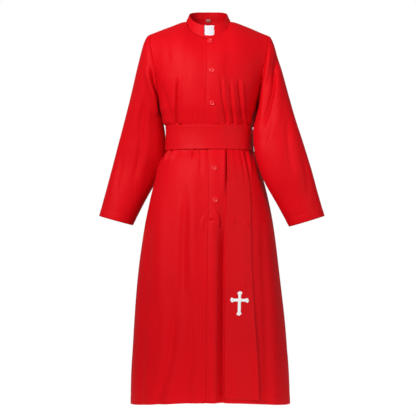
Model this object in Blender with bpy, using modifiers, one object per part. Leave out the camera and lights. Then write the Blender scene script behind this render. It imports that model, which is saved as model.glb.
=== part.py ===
"""A full-length cassock, filled out as if it were worn, with a wide sash and one hanging sash end.

Sizes are in millimetres up to the point where a mesh is made, and the meshes are in metres. X runs to the
wearer's left, Y to the back and Z up. The origin is the middle of the neck, at the height of the shoulders.
Left and right in the names are the wearer's.
"""

import math
from collections import namedtuple

import bmesh
import bpy
import numpy as np
from mathutils import Vector

# Driving dimensions
MM = 0.001
WALL = 2.0
COLLAR_WALL = 2.4
TAB_WALL = 1.2
LABEL_WALL = 0.8
CROSS_WALL = 1.2
SEAM = 0.3
NECK_DROP = 1.1
COLLAR_RISE = 1.1
SIDE_Y = 4.0
CHEST_HEIGHT = -170.0
UNDERARM_HEIGHT = -295.0
SASH_TOP = -362.0
SASH_BOTTOM = -449.0
HEM_HEIGHT = -1356.0
HEM_FRONT_LIFT = 27.0
HEM_LIFT_START = -700.0
TAIL_END_ABOVE_HEM = 14.0
LAP_WIDTH = 45.0
LAP_LIFT = WALL + 2 * SEAM + 0.4
LAP_FADE = 34.0
LEVEL_STEP = 100.0
PLACING_STEPS = 12

# The neck ring, which carries the collar band
NECK_X = -2.5
NECK_HALF_WIDTH = 77.0
NECK_HALF_DEPTH = 69.0
NECK_TOP_HALF_WIDTH = 68.5
NECK_TOP_HALF_DEPTH = 63.0
NECK_SHARE = 0.3
YOKE_MIDDLE = 0.5

NeckHeight = namedtuple("NeckHeight", "angle base top")
NECK_HEIGHTS = [
    NeckHeight(0, -50, -7),
    NeckHeight(20, -43, -3),
    NeckHeight(40, -28, 6),
    NeckHeight(60, -10, 19),
    NeckHeight(80, 9, 34),
    NeckHeight(90, 17, 41),
    NeckHeight(110, 20, 49),
    NeckHeight(140, 22, 57),
    NeckHeight(180, 23, 60),
]

SeamPoint = namedtuple("SeamPoint", "x height")
SHOULDER_SEAM = [
    SeamPoint(77, 17),
    SeamPoint(98, 12),
    SeamPoint(130, 0),
    SeamPoint(169, -14),
    SeamPoint(214, -31),
]
LEFT_SHOULDER_DROP = 4.0

# Level sections of the body. The edge is the armhole above the underarm and the side seam below it.
Section = namedtuple("Section", "height edge_x front_edge back_edge front back fullness shift")
SECTIONS = [
    Section(-1356, 286, 4, 4, 186, 192, 2.05, 5),
    Section(-1267, 284, 4, 4, 183, 189, 2.05, 4),
    Section(-1116, 274, 4, 4, 178, 184, 2.05, 3),
    Section(-986, 263, 4, 4, 173, 179, 2.05, 1),
    Section(-857, 250, 4, 4, 168, 172, 2.05, 0),
    Section(-749, 236, 4, 4, 161, 164, 2.1, 0),
    Section(-684, 225, 4, 4, 156, 157, 2.1, 0),
    Section(-619, 211, 4, 4, 150, 148, 2.15, 0),
    Section(-547, 193, 4, 4, 141, 136, 2.2, 0),
    Section(-508, 184, 4, 4, 133, 127, 2.2, 0),
    Section(-480, 173, 4, 4, 124, 117, 2.2, 0),
    Section(-449, 158, 4, 4, 111, 104, 2.2, 1.5),
    Section(-405, 156, 4, 4, 108, 101, 2.2, 1.7),
    Section(-362, 154.5, 4, 4, 112, 104, 2.2, -0.5),
    Section(-350, 162.5, 4, 4, 117, 109, 2.2, -3),
    Section(-328, 165, 4, 4, 121, 112, 2.25, -4),
    Section(-295, 175, 4, 4, 127, 118, 2.3, -3),
    Section(-275, 176, -21, 26, 129, 120, 2.35, -2.5),
    Section(-235, 181, -42, 46, 130, 122, 2.4, -1),
    Section(-170, 190, -58, 62, 127, 122, 2.4, 0),
]

# Heights of the panels' rows: shares of the yoke above the chest, then heights below it.
YOKE_ROWS = [0.0, 0.035, 0.135, 0.3, 0.52, 0.76]
SASH_ROWS = [-362, -391, -420, -449]
BODY_ROWS = [-170, -205, -240, -270, -295, -316, -336, -352]
SKIRT_ROWS = [-462, -482, -512, -556, -615, -690, -780, -880, -990, -1110, -1235, -1356]

# The front edge of the lap and the two edges of the hanging sash end
FrontLine = namedtuple("FrontLine", "height lap tail_left tail_right")
FRONT_LINES = [
    FrontLine(-1356, -12, 52, 172),
    FrontLine(-1235, -11, 54, 169),
    FrontLine(-1000, -9, 56, 156),
    FrontLine(-760, -7, 58, 147),
    FrontLine(-650, -3, 62, 146),
    FrontLine(-556, -2, 64, 139),
    FrontLine(-449, -5, 61, 118),
    FrontLine(-310, -13, 54, 116),
    FrontLine(-180, -11, 44, 104),
    FrontLine(0, -10, 30, 74),
]

# The largest folds: depth is positive outward, and a path runs from the top down in front view.
Fold = namedtuple("Fold", "side depth half_width fade path")
FOLDS = [
    Fold("front", -5.0, 13, 40, [(36, -192), (42, -274), (47, -304), (60, -365)]),
    Fold("front", 4.0, 12, 40, [(58, -200), (62, -274), (72, -365)]),
    Fold("front", -4.0, 11, 40, [(72, -210), (77, -274), (87, -365)]),
    Fold("front", 4.0, 11, 40, [(88, -210), (94, -274), (102, -365)]),
    Fold("front", -6.5, 13, 40, [(100, -209), (110, -289), (120, -357)]),
    Fold("front", -3.0, 10, 25, [(127, -312), (135, -362)]),
    Fold("front", -7.0, 11, 30, [(-111, -222), (-111, -300), (-111, -362)]),
    Fold("front", 4.5, 12, 30, [(-97, -212), (-96, -300), (-97, -362)]),
    Fold("front", -4.0, 13, 40, [(-168, -222), (-144, -281), (-126, -354)]),
    Fold("front", -2.5, 11, 25, [(-55, -318), (-57, -362)]),
    Fold("front", -3.5, 11, 20, [(-141, -449), (-146, -500)]),
    Fold("front", -3.5, 12, 25, [(-46, -449), (-49, -510)]),
    Fold("front", 4.0, 26, 120, [(-60, -480), (-66, -700), (-38, -1000), (-34, -1356)]),
    Fold("front", -4.0, 22, 110, [(-90, -600), (-92, -760), (-100, -980)]),
    Fold("front", -6.0, 24, 160, [(-108, -940), (-149, -1188), (-196, -1356)]),
    Fold("front", 5.0, 26, 160, [(-158, -520), (-174, -820), (-158, -1100), (-150, -1356)]),
    Fold("front", -5.0, 22, 140, [(-196, -640), (-222, -900), (-240, -1356)]),
    Fold("front", -9.0, 19, 120, [(38, -560), (36, -760), (33, -1356)]),
    Fold("front", -6.0, 18, 160, [(150, -640), (186, -1000), (200, -1356)]),
    Fold("front", 5.0, 24, 160, [(172, -560), (214, -1000), (228, -1356)]),
    Fold("back", -5.0, 13, 40, [(-34, -230), (-38, -300), (-46, -362)]),
    Fold("back", 4.0, 13, 40, [(-58, -215), (-62, -300), (-68, -362)]),
    Fold("back", -5.5, 12, 40, [(-84, -240), (-88, -310), (-96, -362)]),
    Fold("back", -4.0, 12, 40, [(40, -250), (40, -310), (44, -362)]),
    Fold("back", -6.0, 13, 40, [(92, -222), (92, -300), (100, -362)]),
    Fold("back", 4.0, 12, 40, [(70, -220), (70, -300), (74, -362)]),
    Fold("back", -7.0, 22, 120, [(-64, -449), (-84, -800), (-104, -1356)]),
    Fold("back", 5.0, 26, 140, [(-22, -480), (-26, -800), (-36, -1356)]),
    Fold("back", -6.0, 22, 120, [(36, -449), (44, -800), (52, -1356)]),
    Fold("back", 5.0, 26, 140, [(88, -480), (110, -800), (128, -1356)]),
    Fold("back", -6.0, 22, 120, [(124, -449), (168, -800), (204, -1356)]),
    Fold("back", -5.0, 24, 140, [(-128, -470), (-176, -800), (-210, -1356)]),
]

# Rings of the sleeves, from the armhole to the cuff, with x counted outward from the body's middle
Ring = namedtuple("Ring", "outer_x outer_z inner_x inner_z centre_y half_depth")
SLEEVE_RIGHT = [
    Ring(214, -31, 178, -295, 4, 62),
    Ring(225, -37, 180, -297, 4, 64),
    Ring(236, -65, 180, -301, 6, 66),
    Ring(249, -112, 179, -307, 10, 66),
    Ring(263, -166, 176.5, -316, 16, 65),
    Ring(284, -252, 168, -340, 30, 61),
    Ring(307, -338, 162, -386, 46, 57),
    Ring(331, -425, 165, -468, 58, 54),
    Ring(354, -511, 191, -553, 68, 52),
    Ring(377, -596, 236, -636, 68, 50),
    Ring(401, -684, 278, -718, 66, 47),
]
SLEEVE_LEFT = [
    Ring(214, -35, 178, -295, 4, 62),
    Ring(223, -40, 178, -297, 3, 64),
    Ring(233, -66, 176, -301, 0, 66),
    Ring(246, -112, 173, -307, -6, 66),
    Ring(262, -166, 170, -316, -18, 65),
    Ring(284, -252, 165, -340, -38, 61),
    Ring(307, -338, 156, -386, -56, 57),
    Ring(334, -425, 163, -468, -72, 55),
    Ring(360, -511, 191, -553, -75, 53),
    Ring(385, -598, 240, -640, -66, 50),
    Ring(410, -683, 284, -721, -62, 47),
]
SLEEVE_ROWS = [0, 0.5, 1, 1.5, 2, 2.6, 3.2, 3.8, 4.4, 5, 5.6, 6.2, 6.8, 7.4, 8, 8.7, 9.4, 10]
SLEEVE_POINTS = 22

# Folds of the sleeves, with x counted outward from the body's middle and the path from the top down
SLEEVE_FOLDS = {
    "sleeve_right": [
        Fold("front", -5.0, 11, 50, [(206, -120), (190, -210), (178, -300), (170, -380)]),
        Fold("front", 4.0, 11, 50, [(222, -120), (206, -210), (192, -300), (184, -380)]),
        Fold("front", -5.0, 16, 70, [(232, -190), (240, -300), (252, -420), (288, -600)]),
        Fold("front", 4.0, 15, 70, [(258, -200), (272, -320), (290, -430)]),
        Fold("back", -5.0, 14, 60, [(212, -130), (204, -240), (196, -350)]),
        Fold("back", -5.0, 17, 70, [(246, -210), (262, -350), (300, -560)]),
        Fold("back", 4.0, 15, 70, [(226, -170), (232, -300), (246, -440)]),
    ],
    "sleeve_left": [
        Fold("front", -5.0, 11, 50, [(208, -80), (186, -190), (170, -290), (156, -370)]),
        Fold("front", 4.5, 11, 50, [(220, -90), (202, -190), (184, -290), (172, -370)]),
        Fold("front", -5.0, 12, 50, [(232, -120), (224, -220), (206, -300), (194, -370)]),
        Fold("front", 4.5, 14, 60, [(250, -160), (246, -260), (244, -390)]),
        Fold("front", -4.5, 16, 70, [(272, -280), (272, -400), (296, -580)]),
        Fold("back", -5.0, 14, 60, [(212, -120), (198, -230), (186, -350)]),
        Fold("back", -5.0, 17, 70, [(250, -210), (262, -350), (304, -560)]),
        Fold("back", 4.0, 15, 70, [(228, -160), (228, -300), (240, -440)]),
    ],
}

# The collar's notch and the white tab in it
NOTCH_X = 1.0
NOTCH_WIDTH = 36.0
NOTCH_DEPTH = 36.0
NOTCH_CORNER = 7.0
TAB_TUCK = 9.0
COLLAR_COLUMNS = 40
COLLAR_ROWS = 3
LABEL_WIDTH = 16.0
LABEL_HEIGHT = 10.0

BUTTON_RADIUS = 9.0
ButtonPlace = namedtuple("ButtonPlace", "x height")
BUTTONS = [
    ButtonPlace(3, -65),
    ButtonPlace(9.5, -173),
    ButtonPlace(10.5, -288),
    ButtonPlace(18, -515),
    ButtonPlace(21, -627),
]

# The cross on the hanging sash end: rows run from the middle of the cross to the tip of an arm
CROSS_X = 106.0
CROSS_HEIGHT = -975.0
CROSS_TILT = 2.5
CROSS_BAR = 5.4
CROSS_FLARE = 9.5
CROSS_ARMS = {"up": 32.0, "down": 54.0, "left": 33.5, "right": 33.5}
CROSS_FLARE_START = 13.0
CROSS_FLARE_WIDEST = 6.5

Finish = namedtuple("Finish", "color roughness")
FINISHES = {
    "red_cloth": Finish((0.72, 0.01, 0.025), 0.55),
    "sash_cloth": Finish((0.7, 0.01, 0.025), 0.5),
    "red_button": Finish((0.75, 0.03, 0.05), 0.3),
    "white_tab": Finish((0.92, 0.92, 0.94), 0.35),
    "white_embroidery": Finish((0.9, 0.9, 0.92), 0.6),
    "label_cloth": Finish((0.75, 0.6, 0.5), 0.7),
}


def ease(value, low, high):
    """0 below low, 1 above high, and smooth between them."""
    share = np.clip((value - low) / (high - low), 0.0, 1.0)
    return share * share * (3.0 - 2.0 * share)


def curve_at(place, places, values):
    """The value at a place on a smooth curve through the points, which never overshoots them."""
    places = np.asarray(places, float)
    values = np.asarray(values, float)
    place = float(np.clip(place, places[0], places[-1]))
    widths = np.diff(places)
    slopes = np.diff(values) / widths
    tangents = np.concatenate([slopes[:1], (slopes[:-1] + slopes[1:]) / 2, slopes[-1:]])
    for i in range(1, len(places) - 1):
        if slopes[i - 1] * slopes[i] <= 0:
            tangents[i] = 0.0
        else:
            limit = 2.5 * min(abs(slopes[i - 1]), abs(slopes[i]))
            tangents[i] = math.copysign(min(abs(tangents[i]), limit), tangents[i])
    i = min(int(np.searchsorted(places, place, side="right")) - 1, len(widths) - 1)
    t = (place - places[i]) / widths[i]
    start = values[i] * (1 + 2 * t) * (1 - t) ** 2 + tangents[i] * widths[i] * t * (1 - t) ** 2
    end = values[i + 1] * t * t * (3 - 2 * t) + tangents[i + 1] * widths[i] * t * t * (t - 1)
    return float(start + end)


def column_at(table, key, column, place):
    """A named column of a table, read at a place in its key column."""
    rows = sorted(table, key=lambda row: getattr(row, key))
    places = [getattr(row, key) for row in rows]
    return curve_at(place, places, [getattr(row, column) for row in rows])


def section_at(height):
    """The level section of the body at a height."""
    values = [column_at(SECTIONS, "height", name, height) for name in Section._fields[1:]]
    return Section(height, *values)


def level_of(height):
    """The level of a height below the chest. Levels from 0 to 1 are the yoke's share above it."""
    return 1.0 + (CHEST_HEIGHT - height) / LEVEL_STEP


def top_edge(side, across):
    """The neck edge and then the shoulder seam, from the middle outward, on the front or the back."""
    front = -1.0 if side == "front" else 1.0
    reach = abs(across)
    if reach < NECK_SHARE:
        turn = math.pi / 2 * reach / NECK_SHARE
        x = NECK_HALF_WIDTH * math.sin(turn)
        y = SIDE_Y + front * NECK_HALF_DEPTH * math.cos(turn)
        angle = math.degrees(turn)
        if side == "back":
            angle = 180.0 - angle
        z = column_at(NECK_HEIGHTS, "angle", "base", angle) - NECK_DROP
    else:
        share = (reach - NECK_SHARE) / (1.0 - NECK_SHARE)
        x = SHOULDER_SEAM[0].x + share * (SHOULDER_SEAM[-1].x - SHOULDER_SEAM[0].x)
        y = SIDE_Y
        z = column_at(SHOULDER_SEAM, "x", "height", x) - NECK_DROP * (1.0 - ease(share, 0.0, 0.1))
        if across > 0:
            z -= LEFT_SHOULDER_DROP * ease(share, 0.35, 0.9)
    x = math.copysign(x, across) + NECK_X * (1.0 - ease(reach, NECK_SHARE, 1.0))
    return x, y, z


def section_point(side, across, height):
    """A point of a level section, with across from 0 at the middle to 1 at the armhole or side seam."""
    section = section_at(height)
    depth = (section.front if side == "front" else section.back) + (SIDE_Y if side == "front" else -SIDE_Y)
    edge = (SIDE_Y - section.front_edge) if side == "front" else (section.back_edge - SIDE_Y)
    power = 2.0 / section.fullness
    edge_angle = math.acos(min(1.0, max(0.0, edge / depth) ** (1.0 / power)))
    angle = abs(across) * edge_angle
    x = section.edge_x * (math.sin(angle) / math.sin(edge_angle)) ** power
    y = SIDE_Y + (-1.0 if side == "front" else 1.0) * depth * max(0.0, math.cos(angle)) ** power
    lift = 0.0
    if side == "front":
        lift = HEM_FRONT_LIFT * math.cos(angle) ** 2 * ease(-height, -HEM_LIFT_START, -HEM_HEIGHT)
    return math.copysign(x, across) + section.shift, y, height + lift


def base_point(side, across, level):
    """A point of the smooth body, before folds."""
    if level >= 1.0:
        return np.array(section_point(side, across, CHEST_HEIGHT - (level - 1.0) * LEVEL_STEP))
    top = np.array(top_edge(side, across))
    chest = np.array(section_point(side, across, CHEST_HEIGHT))
    share = max(level, 0.0)
    shoulder = ease(abs(across), 0.4 * NECK_SHARE, 1.15 * NECK_SHARE)
    round_over = shoulder * math.sqrt(1.0 - (1.0 - share) ** 2)
    slope_over = (1.0 - shoulder) * (1.0 - (1.0 - share) ** 1.8)
    shares = np.array([share**1.4, round_over + slope_over, share])
    return top + (chest - top) * shares


def base_normal(side, across, level):
    """The outward direction of the smooth body at a point."""
    step = 0.01
    low_level = max(level - step, 0.0)
    near = max(-1.0, across - step)
    far = min(1.0, across + step)
    along = base_point(side, far, max(level, 0.004)) - base_point(side, near, max(level, 0.004))
    down = base_point(side, across, level + step) - base_point(side, across, low_level)
    normal = np.cross(down, along) if side == "front" else np.cross(along, down)
    return normal / np.linalg.norm(normal)


def fold_depth(folds, side, x, height):
    """How far the folds move the cloth outward at a place seen from the front."""
    depth = 0.0
    for fold in folds:
        top = fold.path[0][1]
        bottom = fold.path[-1][1]
        if fold.side != side or height > top + fold.fade or height < bottom - fold.fade:
            continue
        heights = [z for _, z in reversed(fold.path)]
        line = curve_at(height, heights, [px for px, _ in reversed(fold.path)])
        away = (x - line) / fold.half_width
        start = 1.0 - ease(height, top - 0.2 * fold.fade, top + fold.fade)
        end = ease(height, bottom - fold.fade, bottom + 0.2 * fold.fade)
        if bottom <= HEM_HEIGHT:
            end = 1.0
        depth += fold.depth * math.exp(-away * away) * start * end
    return depth


def front_line(name, height):
    """The x of the lap's edge or of one edge of the sash end at a height."""
    return column_at(FRONT_LINES, "height", name, height)


def fold_share(side, x, height):
    """Folds are pressed flat under the sash and under its hanging end."""
    share = ease(max(height - SASH_TOP, SASH_BOTTOM - height), -2.0, 16.0)
    if side == "front" and height < SASH_BOTTOM + 10:
        left = ease(x, front_line("tail_left", height) - 14, front_line("tail_left", height) + 4)
        right = 1.0 - ease(x, front_line("tail_right", height) - 4, front_line("tail_right", height) + 14)
        share *= 1.0 - left * right
    return share


def cloth_point(side, across, level, lift=0.0):
    """A point of the folded cloth's outer face, moved out by lift."""
    point = base_point(side, across, level)
    depth = fold_depth(FOLDS, side, point[0], point[2]) * fold_share(side, point[0], point[2])
    return point + base_normal(side, across, level) * (depth + lift)


def across_at(side, level, x):
    """The share across a panel at which it has that x."""
    low, high = -1.0, 1.0
    for _ in range(30):
        middle = (low + high) / 2
        if base_point(side, middle, level)[0] < x:
            low = middle
        else:
            high = middle
    return (low + high) / 2


def height_of(level):
    """The height of a level near the middle of the front."""
    return base_point("front", 0.0, level)[2]


def panel_levels():
    """The levels of a panel's rows, from its top edge to its hem."""
    return YOKE_ROWS + [level_of(z) for z in BODY_ROWS + SASH_ROWS + SKIRT_ROWS]


def spread(start, end, count):
    """Evenly spaced values from start up to, but without, end."""
    return [start + (end - start) * i / count for i in range(count)]


def seam_edge(side, point):
    """Moves an edge point off the shoulder or side seam, so that the two panels stay apart."""
    gap = 2.6 * SEAM
    return point + np.array([0.0, -gap if side == "front" else gap, 0.0])


def front_right_columns(level):
    """Shares across from the wearer's right side seam to the edge under the lap."""
    under = across_at("front", level, front_line("lap", height_of(level)) + LAP_WIDTH)
    return spread(-1.0, -NECK_SHARE, 10) + spread(-NECK_SHARE, under, 11) + [under]


def front_left_columns(level):
    """Shares across from the lap's edge, past both edges of the sash end, to the left side seam."""
    height = height_of(level)
    lap, left, right = (across_at("front", level, front_line(name, height)) for name in FrontLine._fields[1:])
    return spread(lap, left, 6) + spread(left, right, 7) + spread(right, 1.0, 9) + [1.0]


def back_columns(_level):
    """Shares across the back, from the left side seam to the right one."""
    return spread(1.0, NECK_SHARE, 8) + spread(NECK_SHARE, -NECK_SHARE, 8) + spread(-NECK_SHARE, -1.0, 8) + [-1.0]


def lap_lift(level, x):
    """The lapping front lies a wall's thickness and a gap outside the other one, then settles back."""
    under_edge = front_line("lap", height_of(level)) + LAP_WIDTH
    return LAP_LIFT * (1.0 - ease(x, under_edge + 3, under_edge + 3 + LAP_FADE))


def panel_grid(side, columns, lapping=False):
    """Rows of points of a panel, from its top edge to its hem."""
    grid = []
    for level in panel_levels():
        row = []
        for across in columns(level):
            lift = lap_lift(level, base_point(side, across, level)[0]) if lapping else 0.0
            point = cloth_point(side, across, level, lift)
            on_shoulder = level == 0.0 and abs(across) >= NECK_SHARE
            on_side = abs(across) > 0.999 and level >= level_of(UNDERARM_HEIGHT)
            row.append(seam_edge(side, point) if on_shoulder or on_side else point)
        grid.append(row)
    return np.array(grid)


def material(name):
    """The plain finish of a piece."""
    found = bpy.data.materials.new(name)
    found.use_nodes = True
    shader = found.node_tree.nodes["Principled BSDF"]
    shader.inputs["Base Color"].default_value = (*FINISHES[name].color, 1.0)
    shader.inputs["Roughness"].default_value = FINISHES[name].roughness
    return found


def add_object(name, mesh, finish, collection):
    """Links a mesh as a named object with its own material."""
    piece = bpy.data.objects.new(name, mesh)
    collection.objects.link(piece)
    mesh.materials.append(material(finish))
    return piece


def loft(name, grid, closed=False):
    """A mesh through a grid of points in millimetres, its faces pointing to the left of the rows' run."""
    rows, columns = grid.shape[:2]
    points = [tuple(point * MM) for row in grid for point in row]
    faces = []
    for r in range(rows - 1):
        for c in range(columns if closed else columns - 1):
            after = (c + 1) % columns
            faces.append((r * columns + c, (r + 1) * columns + c, (r + 1) * columns + after, r * columns + after))
    mesh = bpy.data.meshes.new(name)
    mesh.from_pydata(points, [], faces)
    mesh.update()
    mesh.shade_smooth()
    return mesh


def shell(name, grid, wall, finish, collection, closed=False, outward=False):
    """A piece of cloth: an open surface through the grid, given a wall on its inner or outer side."""
    piece = add_object(name, loft(name, grid, closed), finish, collection)
    solid = piece.modifiers.new("wall", "SOLIDIFY")
    solid.thickness = wall * MM
    solid.offset = 1.0 if outward else -1.0
    solid.use_even_offset = True
    solid.use_quality_normals = True
    return piece


def armhole_point(sign, turn):
    """A point of the armhole's edge, with turn 0 at the shoulder, a quarter in front, a half underneath."""
    side = "front" if math.sin(turn) >= 0 else "back"
    top = SHOULDER_SEAM[-1].height - (LEFT_SHOULDER_DROP if sign > 0 else 0.0)
    height = (top + UNDERARM_HEIGHT) / 2 + (top - UNDERARM_HEIGHT) / 2 * math.cos(turn)
    if height < CHEST_HEIGHT:
        level = level_of(height)
    else:
        level = (top - height) / (top - CHEST_HEIGHT)
    return cloth_point(side, sign, level)


def ring_at(rings, place):
    """The sleeve's ring at a place between two rows of its table."""
    places = list(range(len(rings)))
    return Ring(*(curve_at(place, places, [getattr(ring, name) for ring in rings]) for name in Ring._fields))


def ellipse_point(rings, sign, turn, place):
    """A point of a plain sleeve ring."""
    ring = ring_at(rings, place)
    centre = np.array([(ring.outer_x + ring.inner_x) / 2, ring.centre_y, (ring.outer_z + ring.inner_z) / 2])
    reach = np.array([(ring.outer_x - ring.inner_x) / 2, 0.0, (ring.outer_z - ring.inner_z) / 2])
    point = centre + reach * math.cos(turn)
    point[1] -= ring.half_depth * math.sin(turn)
    point[0] *= sign
    return point


def sleeve_point(name, rings, sign, turn, place):
    """A point of the sleeve's outer face, which starts at the armhole and becomes a plain ring."""
    point = ellipse_point(rings, sign, turn, place)
    start = armhole_point(sign, turn)
    outward = ellipse_point(rings, sign, turn, 1.0) - start
    start = start + outward / np.linalg.norm(outward) * 3 * SEAM
    point = point + (start - ellipse_point(rings, sign, turn, 0.0)) * (1.0 - ease(place, 0.0, 2.0))
    side = "front" if math.sin(turn) >= 0 else "back"
    depth = fold_depth(SLEEVE_FOLDS[name], side, abs(point[0]), point[2])
    depth *= abs(math.sin(turn)) * ease(place, 0.0, 1.5)
    return point + np.array([0.0, -depth if side == "front" else depth, 0.0])


def add_sleeve(name, rings, sign, collection):
    """One sleeve, a tube from the armhole to the open cuff."""
    turns = [2 * math.pi * i / SLEEVE_POINTS for i in range(SLEEVE_POINTS)]
    grid = np.array([[sleeve_point(name, rings, sign, turn, place) for turn in turns] for place in SLEEVE_ROWS])
    if sign > 0:
        grid = grid[:, ::-1]
    shell(name, grid, WALL, "red_cloth", collection, closed=True)


def sash_grid():
    """The sash's rows are the panels' own rows in its height, moved out, once round the waist."""
    grid = []
    for height in SASH_ROWS:
        level = level_of(height)
        lap_edge = front_line("lap", height)
        lift = SEAM + 0.2 + WALL
        row = []
        for across in front_right_columns(level):
            if base_point("front", across, level)[0] < lap_edge - 14:
                row.append(cloth_point("front", across, level, lift))
        for across in front_left_columns(level):
            x = base_point("front", across, level)[0]
            row.append(cloth_point("front", across, level, lift + lap_lift(level, x)))
        for across in back_columns(level)[1:-1]:
            row.append(cloth_point("back", across, level, lift))
        grid.append(row)
    return np.array(grid)


def tail_lift(share, height):
    """The sash end lies on the skirt, and a few gathers stand out where it leaves the band."""
    drop = SASH_BOTTOM - height
    gathers = 2.6 * (1.0 + math.cos(2 * math.pi * 3.0 * share)) / 2
    return SEAM + 0.3 + WALL + gathers * (1.0 - ease(drop, 10.0, 170.0)) * ease(drop, 0.0, 8.0)


def tail_point(share, level):
    """A point of the sash end's outer face, with share 0 at its left edge in front view and 1 at the right."""
    height = height_of(level)
    left, right = (across_at("front", level, front_line(name, height)) for name in ("tail_left", "tail_right"))
    across = left + (right - left) * share
    x = base_point("front", across, level)[0]
    return cloth_point("front", across, level, lap_lift(level, x) + tail_lift(share, height))


def tail_grid():
    """The sash end's rows, from the sash's lower edge to just above the hem."""
    last = level_of(HEM_HEIGHT + TAIL_END_ABOVE_HEM)
    levels = [level_of(SASH_BOTTOM - 2 * SEAM)] + [level_of(z) for z in SKIRT_ROWS[:-1]] + [last]
    shares = [i / 7 for i in range(8)]
    return np.array([[tail_point(share, level) for share in shares] for level in levels])


def collar_point(angle, share, lift=0.0):
    """A point of the collar band, with the angle in degrees from the front and share 0 at its seam."""
    turn = math.radians(angle)
    plain = abs((angle + 180.0) % 360.0 - 180.0)
    base_z = column_at(NECK_HEIGHTS, "angle", "base", plain) + COLLAR_RISE
    top_z = column_at(NECK_HEIGHTS, "angle", "top", plain)
    half_width = NECK_HALF_WIDTH + (NECK_TOP_HALF_WIDTH - NECK_HALF_WIDTH) * share + lift
    half_depth = NECK_HALF_DEPTH + (NECK_TOP_HALF_DEPTH - NECK_HALF_DEPTH) * share + lift
    x = NECK_X + half_width * math.sin(turn)
    y = SIDE_Y - half_depth * math.cos(turn)
    return np.array([x, y, base_z + (top_z - base_z) * share])


def collar_angle(x):
    """The angle at which the collar band's middle line has that x, near the front."""
    return math.degrees(math.asin((x - NECK_X) / ((NECK_HALF_WIDTH + NECK_TOP_HALF_WIDTH) / 2)))


def add_notch_cutter(collection):
    """An upright block with two rounded lower corners, which opens the front of the collar band."""
    top = collar_point(0.0, 1.0)[2]
    bottom = top - NOTCH_DEPTH
    half = NOTCH_WIDTH / 2
    above = top + NOTCH_CORNER * 3
    outline = [(NOTCH_X + half, above), (NOTCH_X - half, above)]
    for centre_x, start in ((NOTCH_X - half + NOTCH_CORNER, 180), (NOTCH_X + half - NOTCH_CORNER, 270)):
        for step in range(5):
            turn = math.radians(start + 90 * step / 4)
            x = centre_x + NOTCH_CORNER * math.cos(turn)
            outline.append((x, bottom + NOTCH_CORNER + NOTCH_CORNER * math.sin(turn)))
    shape = bmesh.new()
    near_y = -NECK_HALF_DEPTH - 2 * NOTCH_CORNER
    face = shape.faces.new([shape.verts.new((x * MM, near_y * MM, z * MM)) for x, z in outline])
    grown = bmesh.ops.extrude_face_region(shape, geom=[face])
    moved = [part for part in grown["geom"] if isinstance(part, bmesh.types.BMVert)]
    bmesh.ops.translate(shape, verts=moved, vec=(0.0, NECK_HALF_DEPTH * MM, 0.0))
    bmesh.ops.recalc_face_normals(shape, faces=shape.faces)
    mesh = bpy.data.meshes.new("notch_cutter")
    shape.to_mesh(mesh)
    shape.free()
    cutter = bpy.data.objects.new("notch_cutter", mesh)
    collection.objects.link(cutter)
    cutter.hide_render = True
    cutter.display_type = "WIRE"
    return cutter


def add_collar(collection, cutters):
    """The stand collar: a band whose ends meet in front, with a notch for the tab."""
    start = collar_angle(NOTCH_X + SEAM)
    end = 360.0 + collar_angle(NOTCH_X - SEAM)
    angles = spread(start, end, COLLAR_COLUMNS) + [end]
    shares = [1.0 - i / COLLAR_ROWS for i in range(COLLAR_ROWS + 1)]
    grid = np.array([[collar_point(angle, share) for angle in angles] for share in shares])
    band = shell("collar_band", grid, COLLAR_WALL, "red_cloth", collection)
    notch = band.modifiers.new("notch", "BOOLEAN")
    notch.operation = "DIFFERENCE"
    notch.object = add_notch_cutter(cutters)


def add_tab(collection):
    """The white tab, tucked behind both sides of the notch."""
    left = collar_angle(NOTCH_X - NOTCH_WIDTH / 2 - TAB_TUCK)
    right = collar_angle(NOTCH_X + NOTCH_WIDTH / 2 + TAB_TUCK)
    low = 1.0 - (NOTCH_DEPTH + 3.0) / (collar_point(0, 1)[2] - collar_point(0, 0)[2])
    angles = spread(left, right, 8) + [right]
    lift = -(COLLAR_WALL + SEAM + 0.3)
    grid = []
    for share in (1.0, (1.0 + low) / 2, low):
        row = []
        for angle in angles:
            point = collar_point(angle, share, lift)
            point[2] = min(point[2], collar_point(0, share)[2] + 1.5)
            row.append(point)
        grid.append(row)
    shell("collar_tab", np.array(grid), TAB_WALL, "white_tab", collection)


def add_label(collection):
    """A small blank label inside the back of the neck."""
    reach = collar_angle(NECK_X + LABEL_WIDTH / 2)
    height = collar_point(180.0, 1.0)[2] - collar_point(180.0, 0.0)[2]
    shares = [LABEL_HEIGHT / height, 0.0]
    lift = -(COLLAR_WALL + SEAM + 0.4)
    grid = np.array([[collar_point(180.0 + a, s, lift) for a in (-reach, 0.0, reach)] for s in shares])
    shell("neck_label", grid, LABEL_WALL, "label_cloth", collection)


def place_on_front(x, height):
    """The share across and the level of a place on the front that is seen at x and height."""
    level = level_of(height) if height < CHEST_HEIGHT else YOKE_MIDDLE
    across = 0.0
    for _ in range(PLACING_STEPS):
        across = across_at("front", level, x)
        miss = base_point("front", across, level)[2] - height
        level = max(0.0, level + miss / (LEVEL_STEP if level > 1.0 else -CHEST_HEIGHT))
    return across, level


def lap_point(x, height):
    """The outer face of the lapping front at a place seen from the front, and its outward direction."""
    across, level = place_on_front(x, height)
    return cloth_point("front", across, level, lap_lift(level, x)), base_normal("front", across, level)


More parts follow.
